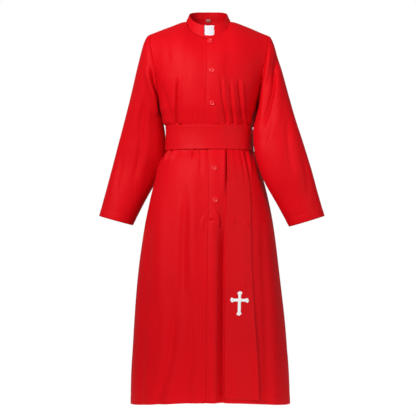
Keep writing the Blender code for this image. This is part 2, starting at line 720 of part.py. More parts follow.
def add_button(name, place, collection):
    """A round button with a raised rim, turned from its profile and set on the lapping front."""
    middle, normal = lap_point(place.x, place.height)
    rise = 0.0
    for turn in spread(0.0, 2 * math.pi, 8):
        rim = lap_point(place.x + BUTTON_RADIUS * math.cos(turn), place.height + BUTTON_RADIUS * math.sin(turn))[0]
        rise = max(rise, float(np.dot(rim - middle, normal)))
    seat = middle + normal * (rise + SEAM)
    outline = [(0, 1.5), (5.0, 1.5), (6.2, 2.7), (7.6, 3.0), (9.0, 2.2), (9.0, 0.9), (7.6, 0), (0, 0)]
    scale = BUTTON_RADIUS / 9.0
    mesh = bpy.data.meshes.new(name)
    points = [(r * scale * MM, 0.0, z * MM) for r, z in outline]
    mesh.from_pydata(points, [(i, i + 1) for i in range(len(points) - 1)], [])
    button = add_object(name, mesh, "red_button", collection)
    turned = button.modifiers.new("turned", "SCREW")
    turned.steps = 18
    turned.render_steps = 18
    turned.use_merge_vertices = True
    turned.merge_threshold = 0.00005
    button.rotation_euler = Vector(normal).to_track_quat("Z", "Y").to_euler()
    button.location = Vector(seat) * MM
    return button


def tail_surface_point(x, height, lift):
    """A point on the sash end seen at x and height, moved out by lift."""
    across, level = place_on_front(x, height)
    middle = height_of(level)
    left, right = (across_at("front", level, front_line(name, middle)) for name in ("tail_left", "tail_right"))
    share = (across - left) / (right - left)
    return tail_point(share, level) + base_normal("front", across, level) * lift


def cross_mesh(name):
    """Four arms with pointed kite ends round a middle square, drawn on the sash end's own surface."""
    tilt = math.radians(CROSS_TILT)
    directions = {"up": (0, 1), "right": (1, 0), "down": (0, -1), "left": (-1, 0)}
    points = []

    def place(along, aside, direction):
        dx, dz = direction
        x = dx * along - dz * aside
        z = dz * along + dx * aside
        turned_x = x * math.cos(tilt) + z * math.sin(tilt)
        turned_z = -x * math.sin(tilt) + z * math.cos(tilt)
        point = tail_surface_point(CROSS_X + turned_x, CROSS_HEIGHT + turned_z, SEAM)
        points.append(tuple(point * MM))
        return len(points) - 1

    corners = {}
    for side_x in (-1, 1):
        for side_z in (-1, 1):
            corners[side_x, side_z] = place(side_z * CROSS_BAR, -side_x * CROSS_BAR, (0, 1))
    faces = [(corners[-1, -1], corners[1, -1], corners[1, 1], corners[-1, 1])]
    for arm, direction in directions.items():
        dx, dz = direction
        length = CROSS_ARMS[arm]
        near = [corners[dx - dz, dz + dx], corners[dx + dz, dz - dx]]
        rows = [(length - CROSS_FLARE_START, CROSS_BAR), (length - CROSS_FLARE_WIDEST, CROSS_FLARE)]
        for along, half in rows:
            pair = [place(along, half, direction), place(along, -half, direction)]
            faces.append((near[0], near[1], pair[1], pair[0]))
            near = pair
        faces.append((near[0], near[1], place(length, 0.0, direction)))
    mesh = bpy.data.meshes.new(name)
    mesh.from_pydata(points, [], faces)
    return mesh


def add_cross(collection):
    """The embroidered cross, a thin raised piece on the sash end."""
    piece = add_object("cross_applique", cross_mesh("cross_applique"), "white_embroidery", collection)
    solid = piece.modifiers.new("wall", "SOLIDIFY")
    solid.thickness = CROSS_WALL * MM
    solid.offset = 1.0


def main():
    for old in list(bpy.data.objects):
        bpy.data.objects.remove(old)
    cassock = bpy.data.collections.new("cassock")
    cutters = bpy.data.collections.new("cutters")
    bpy.context.scene.collection.children.link(cassock)
    bpy.context.scene.collection.children.link(cutters)
    shell("front_right", panel_grid("front", front_right_columns), WALL, "red_cloth", cassock)
    shell("front_left", panel_grid("front", front_left_columns, lapping=True), WALL, "red_cloth", cassock)
    shell("back", panel_grid("back", back_columns), WALL, "red_cloth", cassock)
    add_sleeve("sleeve_right", SLEEVE_RIGHT, -1, cassock)
    add_sleeve("sleeve_left", SLEEVE_LEFT, 1, cassock)
    add_collar(cassock, cutters)
    add_tab(cassock)
    add_label(cassock)
    shell("sash_band", sash_grid(), WALL, "sash_cloth", cassock, closed=True)
    shell("sash_tail", tail_grid(), WALL, "sash_cloth", cassock)
    add_cross(cassock)
    for number, place in enumerate(BUTTONS, 1):
        add_button(f"button_{number}", place, cassock)


main()
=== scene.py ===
"""The looks of a full-length cassock with a wide sash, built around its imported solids.

Sizes are in millimetres up to the point where a mesh is made, as in the part's source, and meshes are in metres.
X runs to the wearer's left, Y to the back and Z up. Left and right in the names are the wearer's.
"""

import math
from collections import namedtuple

import bmesh
import bpy
import numpy as np
from mathutils import Matrix, Vector, noise
from mathutils.bvhtree import BVHTree

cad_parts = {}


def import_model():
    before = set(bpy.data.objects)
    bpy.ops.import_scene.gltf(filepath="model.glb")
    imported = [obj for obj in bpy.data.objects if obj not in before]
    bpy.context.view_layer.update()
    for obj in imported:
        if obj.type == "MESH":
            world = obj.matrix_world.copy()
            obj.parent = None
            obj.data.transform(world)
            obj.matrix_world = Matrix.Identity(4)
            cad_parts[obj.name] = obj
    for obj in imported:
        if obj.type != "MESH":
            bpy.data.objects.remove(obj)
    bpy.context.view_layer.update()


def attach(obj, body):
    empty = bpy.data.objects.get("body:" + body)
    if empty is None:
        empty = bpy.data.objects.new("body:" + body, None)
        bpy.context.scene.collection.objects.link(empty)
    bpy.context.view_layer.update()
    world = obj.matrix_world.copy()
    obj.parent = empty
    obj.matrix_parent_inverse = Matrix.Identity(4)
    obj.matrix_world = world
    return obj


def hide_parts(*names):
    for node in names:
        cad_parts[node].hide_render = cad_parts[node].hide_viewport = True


# The garment's own sizes, as in the part's source but for two rows above the sash and nine of the sleeves, where the
# cloth hangs up to 10 mm closer in
MM = 0.001
WALL = 2.0
COLLAR_WALL = 2.4
SEAM = 0.3
NECK_DROP = 1.1
COLLAR_RISE = 1.1
SIDE_Y = 4.0
CHEST_HEIGHT = -170.0
UNDERARM_HEIGHT = -295.0
SASH_TOP = -362.0
SASH_BOTTOM = -449.0
HEM_HEIGHT = -1356.0
HEM_FRONT_LIFT = 27.0
HEM_LIFT_START = -700.0
TAIL_END_ABOVE_HEM = 14.0
LAP_WIDTH = 45.0
LAP_LIFT = WALL + 2 * SEAM + 0.4
LAP_FADE = 34.0
LEVEL_STEP = 100.0
NECK_X = -2.5
NECK_HALF_WIDTH = 77.0
NECK_HALF_DEPTH = 69.0
NECK_TOP_HALF_WIDTH = 68.5
NECK_TOP_HALF_DEPTH = 63.0
NECK_SHARE = 0.3
LEFT_SHOULDER_DROP = 4.0
NOTCH_X = 1.0
NOTCH_WIDTH = 36.0
NOTCH_DEPTH = 36.0
NOTCH_CORNER = 7.0
TAB_TUCK = 9.0

# The fine surface's own sizes
CLOTH = 1.0
SASH_CLOTH = 1.8
GRID_STEP = 4.5
HEM_DEPTH = 29.0
CUFF_DEPTH = 27.0
CLOTH_MAP = "cloth_map"
FINISHES = {}
TUCK = 2.5
YOKE_ROWS = 46
YOKE_COLUMNS = 150
YOKE_EVENING = 0.5
RELAX_ROUNDS = 300
SLEEVE_COLUMNS = 112
SASH_COLUMNS = 116
TAIL_ROWS = 200
TAIL_COLUMNS = 45
HEM_STEP = 0.4
HEM_GROOVE = 0.6
NECK_GROOVE = 1.6
ARMHOLE_GROOVE = 1.6
LAP_TURN_IN = 18.0
COLLAR_STAND = 2.2
TAIL_EDGE_LIFT = 6.5
SIDE_SWELL = 24.0
LAP_STITCH_INSETS = (5.0, 38.0)
SASH_STITCH_INSET = 3.0

# Buttons and stitches
HOLE_REACH = 1.75
BUTTON_LEVEL = 0.8
BUTTON_SPINS = (0.3, -0.5, 0.9, 0.1, -0.8)
BUTTON_RADIUS = 9.0
BUTTON_STEPS = 48
BUTTON_OUTLINE = (
    (0.0, 1.35), (2.6, 1.4), (4.4, 1.7), (5.4, 2.35), (6.2, 2.9), (7.1, 3.15), (8.0, 3.0),
    (8.7, 2.4), (BUTTON_RADIUS, 1.6), (8.8, 0.8), (8.0, 0.35), (6.5, 0.2), (0.0, 0.2),
)
HOLE_RADIUS = 0.85
THREAD_PITCH = 0.6
THREAD_SLANT = 0.16
PADDING_GRID = (26, 9)
STITCH_PITCH = 3.4
STITCH_SHARE = 0.72

# How folds and curves are read
STEEPEST_TANGENT = 2.5
HALVINGS = 30
PATH_POINTS = 28
FOLD_MARGIN = 4.0
STEEP_SIDE = 0.62
RIDGE_PLACE = 1.7
RIDGE_WIDTH = 1.25


def table(fields, *rows):
    """Rows of figures with named columns."""
    row_type = namedtuple("Row", fields)
    return [row_type(*row) for row in rows]


NECK_HEIGHTS = table(
    "angle base top",
    (0, -50, -7), (20, -43, -3), (40, -28, 6), (60, -10, 19), (80, 9, 34), (90, 17, 41), (110, 20, 49),
    (140, 22, 57), (180, 23, 60),
)
SHOULDER_SEAM = table(
    "x height",
    (77, 17), (98, 12), (130, 0), (169, -14), (214, -31),
)
SECTIONS = table(
    "height edge_x front_edge back_edge front back fullness shift",
    (-1356, 286, 4, 4, 186, 192, 2.05, 5), (-1267, 284, 4, 4, 183, 189, 2.05, 4),
    (-1116, 274, 4, 4, 178, 184, 2.05, 3), (-986, 263, 4, 4, 173, 179, 2.05, 1),
    (-857, 250, 4, 4, 168, 172, 2.05, 0), (-749, 236, 4, 4, 161, 164, 2.1, 0), (-684, 225, 4, 4, 156, 157, 2.1, 0),
    (-619, 211, 4, 4, 150, 148, 2.15, 0), (-547, 193, 4, 4, 141, 136, 2.2, 0), (-508, 184, 4, 4, 133, 127, 2.2, 0),
    (-480, 173, 4, 4, 124, 117, 2.2, 0), (-449, 158, 4, 4, 111, 104, 2.2, 1.5),
    (-405, 156, 4, 4, 108, 101, 2.2, 1.7), (-362, 154.5, 4, 4, 112, 104, 2.2, -0.5),
    (-350, 162.5, 4, 4, 114.5, 106.5, 2.2, -3), (-328, 165, 4, 4, 119.5, 110.5, 2.25, -4),
    (-295, 175, 4, 4, 127, 118, 2.3, -3), (-275, 176, -21, 26, 129, 120, 2.35, -2.5),
    (-235, 181, -42, 46, 130, 122, 2.4, -1), (-170, 190, -58, 62, 127, 122, 2.4, 0),
)
FRONT_LINES = table(
    "height lap tail_left tail_right",
    (-1356, -12, 52, 172), (-1235, -11, 54, 169), (-1000, -9, 56, 156), (-760, -7, 58, 147), (-650, -3, 62, 146),
    (-556, -2, 64, 139), (-449, -5, 61, 118), (-310, -13, 54, 116), (-180, -11, 44, 104), (0, -10, 30, 74),
)
RING = "outer_x outer_z inner_x inner_z centre_y half_depth"
SLEEVE_RIGHT = table(
    RING,
    (214, -31, 178, -295, 4, 62), (223.5, -39, 180, -297, 4, 64), (236, -65, 180, -301, 6, 66),
    (249, -112, 174, -307, 10, 66), (263, -166, 171, -316, 16, 65), (284, -252, 166, -340, 30, 61),
    (307, -338, 159, -386, 46, 57), (331, -425, 155, -468, 58, 54), (354, -511, 191, -553, 68, 52),
    (377, -596, 236, -636, 68, 50), (401, -684, 278, -718, 66, 47),
)
SLEEVE_LEFT = table(
    RING,
    (214, -35, 178, -295, 4, 62), (222, -42, 178, -297, 3, 64), (233, -66, 176, -301, 0, 66),
    (246, -112, 173, -307, -6, 66), (262, -166, 170, -316, -18, 65), (284, -252, 165, -340, -38, 61),
    (307, -338, 156, -386, -56, 57), (334, -425, 163, -468, -72, 55), (360, -511, 191, -553, -75, 53),
    (385, -598, 240, -640, -66, 50), (410, -683, 284, -721, -62, 47),
)
BUTTONS = table(
    "x height",
    (3, -65), (9.5, -173), (10.5, -288), (18, -515), (21, -627),
)

CROSS_X = 106.0
CROSS_HEIGHT = -975.0
CROSS_TILT = 2.5
CROSS_BAR = 5.4
CROSS_FLARE = 9.5
CROSS_ARMS = {"up": 32.0, "down": 54.0, "left": 33.5, "right": 33.5}
CROSS_FLARE_START = 13.0
CROSS_FLARE_WIDEST = 6.5

# Folds run from the top down in front view. A row is a fold's depth, half width, lean, fades and path. A negative
# depth is a trough, and lean puts a ridge beside it, as a share of its depth, on the +X side if positive. The fades are
# shares of the fold's length at its two ends.
FOLDS = {
    "front": [
        (-6.0, 5.5, 0.5, 0.35, 0.03, [(38, -172), (44, -225), (47, -270), (57, -325), (64, -366)]),
        (-6.5, 5.5, 0.5, 0.35, 0.03, [(72, -188), (76, -248), (80, -295), (86, -340), (89, -366)]),
        (-7.5, 6.0, 0.5, 0.3, 0.03, [(101, -186), (106, -240), (111, -290), (115, -330), (124, -366)]),
        (-3.0, 6.0, 0.5, 0.3, 0.05, [(128, -285), (132, -325), (138, -366)]),
        (3.0, 12, 0.0, 0.3, 0.1, [(18, -290), (24, -330), (30, -366)]),
        (-12.0, 6.0, 0.5, 0.35, 0.03, [(-113, -185), (-114, -250), (-115, -310), (-114, -366)]),
        (-1.8, 4.5, 0.4, 0.3, 0.6, [(-93, -176), (-93, -206), (-94, -240)]),
        (-3.5, 12, -0.4, 0.3, 0.1, [(-172, -196), (-155, -262), (-140, -308), (-127, -362)]),
        (-2.6, 5.0, 0.5, 0.6, 0.05, [(-55, -325), (-57, -366)]),
        (-2.2, 4.5, 0.5, 0.6, 0.05, [(-38, -320), (-36, -366)]),
        (-2.2, 4.5, 0.5, 0.6, 0.05, [(-22, -330), (-24, -366)]),
        (-2.4, 5.5, 0.4, 0.3, 0.3, [(-26, -216), (-12, -248), (-14, -276), (-19, -300)]),
        (2.2, 9.0, 0.0, 0.3, 0.3, [(-140, -40), (-132, -90), (-122, -150)]),
        (-10.0, 6.5, 0.7, 0.02, 0.6, [(-131, -440), (-136, -455), (-149, -478), (-158, -500)]),
        (-9.0, 5.0, 0.7, 0.02, 0.6, [(-150, -440), (-155, -455), (-165, -471), (-174, -492)]),
        (-6.0, 5.0, -0.6, 0.02, 0.6, [(-51, -440), (-55, -462), (-61, -495)]),
        (-5.0, 4.5, 0.6, 0.02, 0.7, [(-51, -440), (-45, -465), (-37, -490)]),
        (-3.0, 7.0, 0.5, 0.02, 0.6, [(-31, -445), (-30, -490), (-29, -560)]),
        (-8.5, 6.5, -0.4, 0.02, 0.5, [(66, -440), (65, -500), (63, -560), (58, -640)]),
        (-4.0, 6.0, 0.5, 0.02, 0.6, [(128, -440), (136, -500), (143, -570)]),
        (-3.4, 6.0, 0.5, 0.02, 0.6, [(146, -440), (154, -500), (160, -560)]),
        (4.5, 24, 0.0, 0.15, 0.0, [(-58, -470), (-66, -700), (-38, -1000), (-34, -1400)]),
        (-10.0, 20, 0.3, 0.3, 0.35, [(-78, -560), (-90, -760), (-96, -1040)]),
        (-10.0, 20, 0.4, 0.4, 0.0, [(-112, -960), (-128, -1100), (-150, -1220), (-194, -1400)]),
        (5.0, 24, 0.0, 0.3, 0.0, [(-158, -480), (-174, -820), (-158, -1100), (-150, -1400)]),
        (-4.0, 18, -0.3, 0.3, 0.0, [(-196, -600), (-222, -900), (-240, -1400)]),
        (-4.0, 15, 0.4, 0.4, 0.1, [(-60, -940), (-66, -1150), (-84, -1380)]),
        (-4.0, 14, 0.5, 0.4, 0.0, [(2, -860), (-2, -1060), (-6, -1400)]),
        (-19.0, 20, -0.3, 0.3, 0.0, [(51, -575), (52, -760), (50, -1000), (46, -1400)]),
        (-3.0, 16, 0.4, 0.3, 0.0, [(178, -560), (196, -1000), (206, -1400)]),
        (3.0, 26, 0.0, 0.3, 0.0, [(182, -520), (222, -1000), (240, -1400)]),
        (6.0, 5.0, -0.5, 0.3, 0.3, [(-10, -678), (-21, -700), (-24, -724), (-16, -742)]),
        (6.0, 5.0, 0.5, 0.3, 0.3, [(16, -662), (30, -682), (33, -706), (24, -728)]),
        (-6.0, 4.5, 0.5, 0.3, 0.3, [(-2, -692), (8, -700), (20, -694)]),
        (2.8, 4.5, 0.5, 0.3, 0.3, [(4, -716), (14, -724), (22, -738)]),
    ],
    "back": [
        (-5.0, 9, 0.5, 0.3, 0.05, [(-34, -190), (-38, -290), (-46, -365)]),
        (-6.5, 8, -0.6, 0.25, 0.05, [(-84, -205), (-88, -300), (-96, -365)]),
        (-3.0, 7, 0.5, 0.5, 0.05, [(-64, -290), (-70, -365)]),
        (-4.5, 8, 0.5, 0.3, 0.05, [(40, -210), (40, -300), (44, -365)]),
        (-7.0, 8, 0.6, 0.25, 0.05, [(92, -195), (92, -290), (100, -365)]),
        (-3.0, 7, -0.5, 0.5, 0.05, [(66, -280), (70, -365)]),
        (-3.5, 12, 0.4, 0.4, 0.3, [(150, -110), (138, -200), (126, -300)]),
        (-3.5, 12, -0.4, 0.4, 0.3, [(-154, -100), (-140, -190), (-130, -290)]),
        (-7.5, 16, 0.4, 0.05, 0.0, [(-64, -445), (-84, -800), (-104, -1400)]),
        (5.0, 24, 0.0, 0.2, 0.0, [(-22, -460), (-26, -800), (-36, -1400)]),
        (-6.5, 16, -0.4, 0.05, 0.0, [(36, -445), (44, -800), (52, -1400)]),
        (5.0, 24, 0.0, 0.2, 0.0, [(88, -460), (110, -800), (128, -1400)]),
        (-7.0, 16, 0.4, 0.05, 0.0, [(124, -445), (168, -800), (204, -1400)]),
        (-5.5, 18, -0.4, 0.1, 0.0, [(-128, -450), (-176, -800), (-210, -1400)]),
        (-3.5, 6.0, 0.6, 0.02, 0.7, [(-10, -445), (-12, -520)]),
        (-3.5, 6.0, -0.6, 0.02, 0.7, [(84, -445), (90, -530)]),
        (-4.0, 6.0, -0.6, 0.02, 0.7, [(-98, -445), (-106, -530)]),
    ],
    "sleeve_right_front": [
        (-6.5, 6.0, -0.4, 0.25, 0.4, [(203, -84), (194, -120), (186, -165)]),
        (-14.0, 7.5, 0.7, 0.25, 0.15, [(213, -140), (208, -163), (196, -208), (184, -251), (170, -330)]),
        (-8.0, 13, -0.5, 0.35, 0.35, [(226, -190), (234, -280), (244, -350), (246, -420), (280, -590)]),
        (4.5, 11, 0.0, 0.4, 0.4, [(254, -230), (268, -320), (278, -420)]),
        (-3.0, 12, 0.5, 0.4, 0.3, [(300, -420), (322, -520), (340, -640)]),
    ],
    "sleeve_right_back": [
        (-5.5, 10, 0.5, 0.3, 0.4, [(212, -90), (204, -220), (196, -340)]),
        (-5.5, 13, 0.5, 0.4, 0.4, [(246, -170), (262, -350), (300, -600)]),
        (-3.0, 8, -0.5, 0.4, 0.4, [(226, -130), (232, -260), (240, -380)]),
    ],
    "sleeve_left_front": [
        (-6.0, 8.0, 0.6, 0.2, 0.3, [(208, -72), (196, -120), (188, -165), (181, -215), (170, -330)]),
        (-17.0, 9.5, 0.0, 0.3, 0.3, [(241, -90), (241, -130), (233, -182), (223, -236),
          (208, -289), (196, -342), (185, -400)]),
        (5.0, 7.5, 0.0, 0.3, 0.2, [(214, -80), (213, -130), (205, -183), (194, -236), (184, -289), (173, -345)]),
        (-4.0, 10, 0.4, 0.4, 0.4, [(224, -300), (205, -380), (184, -460)]),
        (3.0, 12, 0.0, 0.4, 0.4, [(250, -180), (246, -260), (244, -420)]),
        (-4.5, 13, 0.5, 0.4, 0.35, [(278, -300), (276, -400), (300, -590)]),
        (-2.5, 11, 0.5, 0.4, 0.3, [(322, -430), (340, -520), (352, -630)]),
    ],
    "sleeve_left_back": [
        (-5.5, 10, 0.5, 0.3, 0.4, [(212, -90), (198, -220), (186, -350)]),
        (-5.5, 13, 0.5, 0.4, 0.4, [(250, -170), (262, -350), (304, -600)]),
        (-3.0, 8, -0.5, 0.4, 0.4, [(228, -130), (228, -260), (236, -380)]),
    ],
    "sash_tail": [
        (-1.1, 5, 0.5, 0.05, 0.6, [(108, -440), (120, -520), (126, -600)]),
        (-0.9, 5, -0.5, 0.05, 0.6, [(86, -440), (90, -510), (92, -580)]),
        (-1.6, 5, 0.6, 0.3, 0.4, [(122, -728), (134, -745), (146, -760)]),
        (2.2, 6, 0.0, 0.3, 0.4, [(78, -680), (84, -700), (86, -722)]),
        (2.0, 6, 0.0, 0.3, 0.4, [(120, -700), (132, -712), (142, -722)]),
        (-2.2, 6, -0.5, 0.3, 0.4, [(122, -912), (130, -925), (140, -940)]),
    ],
}

# The slow waves of each piece: width, height, place in the noise and rise
WAVES = {
    "front": ((55, 420, 3, 2.6), (22, 90, 5, 0.5)),
    "back": ((55, 420, 9, 2.6), (22, 90, 5, 0.5)),
    "hem": ((5, 1, 2, 0.35),),
    "sleeve_right": ((42, 260, 11, 2.4), (17, 60, 15, 0.6)),
    "sleeve_left": ((42, 260, 13, 2.4), (17, 60, 15, 0.6)),
    "sash_band": ((60, 50, 21, 0.8),),
    "sash_tail": ((40, 260, 30, 1.4),),
}

# Colours and surfaces
RED = (0.66, 0.0012, 0.006)
SASH_RED = (0.65, 0.0014, 0.006)
BUTTON_RED = (0.76, 0.014, 0.022)
LABEL_RED = (0.42, 0.15, 0.12)
THREAD_WHITE = (0.98, 0.98, 0.98)
TAB_WHITE = (0.72, 0.72, 0.76)
TWILL_ANGLE = 63
WAVE_SCALE = 0.31416

# The camera, where the photograph was taken from, and the studio
CAMERA_PLACE = (-3.6, -4500.0, -655.0)
LENS = 108.2
SENSOR = 36.0
FLOOR_HEIGHT = -1450.0
FLOOR_REACH = 3000.0
WORLD_LIGHT = 0.29


def ease(value, low, high):
    """0 below low, 1 above high, and smooth between them."""
    share = np.clip((value - low) / (high - low), 0.0, 1.0)
    return share * share * (3.0 - 2.0 * share)


def curve(places, values):
    """A smooth curve through the points that never overshoots them, as a function of arrays."""
    places = np.asarray(places, float)
    values = np.asarray(values, float)
    widths = np.diff(places)
    slopes = np.diff(values) / widths
    tangents = np.concatenate([slopes[:1], (slopes[:-1] + slopes[1:]) / 2, slopes[-1:]])
    for i in range(1, len(places) - 1):
        if slopes[i - 1] * slopes[i] <= 0:
            tangents[i] = 0.0
        else:
            limit = STEEPEST_TANGENT * min(abs(slopes[i - 1]), abs(slopes[i]))
            tangents[i] = math.copysign(min(abs(tangents[i]), limit), tangents[i])

    def read(place):
        place = np.clip(place, places[0], places[-1])
        i = np.clip(np.searchsorted(places, place, side="right") - 1, 0, len(widths) - 1)
        t = (place - places[i]) / widths[i]
        start = values[i] * (1 + 2 * t) * (1 - t) ** 2 + tangents[i] * widths[i] * t * (1 - t) ** 2
        end = values[i + 1] * t * t * (3 - 2 * t) + tangents[i + 1] * widths[i] * t * t * (t - 1)
        return start + end

    return read


def columns_of(rows, key):
    """Every column of a table as a smooth curve over its key column."""
    rows = sorted(rows, key=lambda row: getattr(row, key))
    places = [getattr(row, key) for row in rows]
    names = [name for name in rows[0]._fields if name != key]
    return {name: curve(places, [getattr(row, name) for row in rows]) for name in names}


NECK = columns_of(NECK_HEIGHTS, "angle")
SHOULDER = columns_of(SHOULDER_SEAM, "x")
BODY = columns_of(SECTIONS, "height")
FRONT = columns_of(FRONT_LINES, "height")


def level_of(height):
    """The level of a height below the chest. Levels from 0 to 1 are the yoke's share above it."""
    return 1.0 + (CHEST_HEIGHT - height) / LEVEL_STEP


def top_edge(side, across):
    """The neck edge and then the shoulder seam, from the middle outward, on the front or the back."""
    front = -1.0 if side == "front" else 1.0
    reach = np.abs(across)
    turn = math.pi / 2 * np.minimum(reach / NECK_SHARE, 1.0)
    angle = np.degrees(turn)
    neck_z = NECK["base"](angle if side == "front" else 180.0 - angle) - NECK_DROP
    share = np.clip((reach - NECK_SHARE) / (1.0 - NECK_SHARE), 0.0, 1.0)
    seam_x = SHOULDER_SEAM[0].x + share * (SHOULDER_SEAM[-1].x - SHOULDER_SEAM[0].x)
    seam_z = SHOULDER["height"](seam_x) - NECK_DROP * (1.0 - ease(share, 0.0, 0.1))
    seam_z = seam_z - np.where(across > 0, LEFT_SHOULDER_DROP * ease(share, 0.35, 0.9), 0.0)
    on_neck = reach < NECK_SHARE
    x = np.where(on_neck, NECK_HALF_WIDTH * np.sin(turn), seam_x)
    y = np.where(on_neck, SIDE_Y + front * NECK_HALF_DEPTH * np.cos(turn), SIDE_Y)
    z = np.where(on_neck, neck_z, seam_z)
    x = np.copysign(x, across) + NECK_X * (1.0 - ease(reach, NECK_SHARE, 1.0))
    return np.stack([x, y, z], axis=-1)


def section_point(side, across, height):
    """A point of a level section, with across from 0 at the middle to 1 at the armhole or side seam."""
    front = -1.0 if side == "front" else 1.0
    depth = BODY[side](height) - front * SIDE_Y
    edge = front * (BODY[side + "_edge"](height) - SIDE_Y)
    power = 2.0 / BODY["fullness"](height)
    edge_angle = np.arccos(np.minimum(1.0, np.maximum(0.0, edge / depth) ** (1.0 / power)))
    angle = np.abs(across) * edge_angle
    x = BODY["edge_x"](height) * (np.sin(angle) / np.sin(edge_angle)) ** power
    y = SIDE_Y + front * depth * np.maximum(0.0, np.cos(angle)) ** power
    lift = 0.0
    if side == "front":
        lift = HEM_FRONT_LIFT * np.cos(angle) ** 2 * ease(-height, -HEM_LIFT_START, -HEM_HEIGHT)
    return np.stack([np.copysign(x, across) + BODY["shift"](height), y, height + lift], axis=-1)


def base_point(side, across, level):
    """Points of the smooth body, before folds. Across and level are arrays of one shape."""
    across, level = np.broadcast_arrays(np.asarray(across, float), np.asarray(level, float))
    below = section_point(side, across, CHEST_HEIGHT - (np.maximum(level, 1.0) - 1.0) * LEVEL_STEP)
    top = top_edge(side, across)
    chest = section_point(side, across, np.full(across.shape, CHEST_HEIGHT))
    share = np.clip(level, 0.0, 1.0)
    shoulder = ease(np.abs(across), 0.4 * NECK_SHARE, 1.15 * NECK_SHARE)
    round_over = shoulder * np.sqrt(1.0 - (1.0 - share) ** 2)
    slope_over = (1.0 - shoulder) * (1.0 - (1.0 - share) ** 1.8)
    shares = np.stack([share**1.4, round_over + slope_over, share], axis=-1)
    return np.where((level >= 1.0)[..., None], below, top + (chest - top) * shares)


def across_at(side, level, x):
    """The share across a panel at which it has that x, for arrays of levels."""
    level, x = np.broadcast_arrays(np.asarray(level, float), np.asarray(x, float))
    low, high = np.full(level.shape, -1.0), np.full(level.shape, 1.0)
    for _ in range(HALVINGS):
        middle = (low + high) / 2
        before = base_point(side, middle, level)[..., 0] < x
        low = np.where(before, middle, low)
        high = np.where(before, high, middle)
    return (low + high) / 2


def height_of(level):
    """The height of a level near the middle of the front."""
    return base_point("front", np.zeros(np.shape(level)), level)[..., 2]


def run_of(points):
    """The running length along a line of points."""
    return np.concatenate([[0.0], np.cumsum(np.linalg.norm(np.diff(points, axis=0), axis=1))])


def points_at(points, run, places):
    """The points of a line at places along its run."""
    return np.stack([np.interp(places, run, points[:, k]) for k in range(3)], axis=-1)


def smooth_path(path):
    """Evenly spaced points of a smooth line through the path's points."""
    path = np.asarray(path, float)
    run = run_of(path)
    places = np.linspace(0.0, run[-1], PATH_POINTS)
    return np.stack([curve(run, path[:, k])(places) for k in range(2)], axis=-1)


def fold_depth(folds, x, z):
    """How far the folds move the cloth outward at places seen from the front."""
    depth = np.zeros(np.shape(x))
    for rise, half_width, lean, fade_in, fade_out, path in folds:
        line = smooth_path(path)
        margin = FOLD_MARGIN * half_width
        low, high = line.min(axis=0) - margin, line.max(axis=0) + margin
        near = (x > low[0]) & (x < high[0]) & (z > low[1]) & (z < high[1])
        if not near.any():
            continue
        spots = np.stack([x[near], z[near]], axis=-1)[:, None]
        start, step = line[:-1], np.diff(line, axis=0)
        share = np.clip(((spots - start) * step).sum(axis=-1) / (step**2).sum(axis=-1), 0.0, 1.0)
        off = spots - start - share[..., None] * step
        best = np.argmin((off**2).sum(axis=-1), axis=1)
        chosen = np.arange(len(best)), best
        dx, dz = off[chosen].T
        turned = dz * step[best, 0] - dx * step[best, 1]
        away = np.copysign(np.hypot(dx, dz), turned) / half_width
        along = (best + share[chosen]) / len(step)
        profile = np.exp(-((away / np.where(away * lean < 0, STEEP_SIDE, 1.0)) ** 2))
        if lean:
            beside = (away - math.copysign(RIDGE_PLACE, lean)) / RIDGE_WIDTH
            profile = profile - abs(lean) * np.exp(-beside * beside)
        if fade_in:
            profile = profile * ease(along, 0.0, fade_in)
        if fade_out:
            profile = profile * ease(1.0 - along, 0.0, fade_out)
        depth[near] += rise * profile
    return depth


def fold_share(side, x, height):
    """Folds are pressed flat under the sash and under its hanging end."""
    share = ease(np.maximum(height - SASH_TOP, SASH_BOTTOM - height), -2.0, 7.0)
    if side != "front":
        return share
    left, right = FRONT["tail_left"](height), FRONT["tail_right"](height)
    under = ease(x, left - 1, left + 9) * (1.0 - ease(x, right - 8, right + 3))
    return share * (1.0 - under * ease(-height, -SASH_BOTTOM - 10, -SASH_BOTTOM))


def wander(name, x, z):
    """The slow uneven waves of one piece of cloth."""
    total = 0.0
    for wide, tall, seed, rise in WAVES[name]:
        places = zip(np.ravel(x) / wide, np.ravel(z) / tall)
        total = total + rise * np.reshape([noise.noise(Vector((px, pz, seed))) for px, pz in places], np.shape(x))
    return total


def over_lap(x, edge):
    """The lift over the lap, which fades out beside it."""
    return LAP_LIFT * (1.0 - ease(x, edge + LAP_WIDTH + 3, edge + LAP_WIDTH + 3 + LAP_FADE))


def lap_lift(level, x):
    """The lapping front lies a wall's thickness and a gap outside the other one, then settles back."""
    edge = FRONT["lap"](height_of(level))
    turned_in = (1.3 + 0.7 * ease(level, 5.0, 7.0)) * (1.0 - ease(x, edge - 0.5, edge + LAP_TURN_IN))
    return over_lap(x, edge) - turned_in


def grid_normals(grid, flip=False):
    """The outward directions of a grid of points, taken from its neighbours."""
    normal = np.cross(np.gradient(grid, axis=0), np.gradient(grid, axis=1))
    normal /= np.maximum(np.linalg.norm(normal, axis=-1, keepdims=True), 1e-9)
    return -normal if flip else normal


def tube_normals(grid, flip=False):
    """The outward directions of a grid that closes on itself."""
    return grid_normals(np.concatenate([grid[:, -1:], grid, grid[:, :1]], axis=1), flip)[:, 1:-1]


def relax(grid, weight):
    """Evens out a grid of points where weight is over zero, with its edges held."""
    for _ in range(RELAX_ROUNDS):
        middle = (grid[:-2, 1:-1] + grid[2:, 1:-1] + grid[1:-1, :-2] + grid[1:-1, 2:]) / 4
        inner = grid[1:-1, 1:-1]
        grid[1:-1, 1:-1] = inner + (middle - inner) * weight[1:-1, 1:-1, None]
    return grid


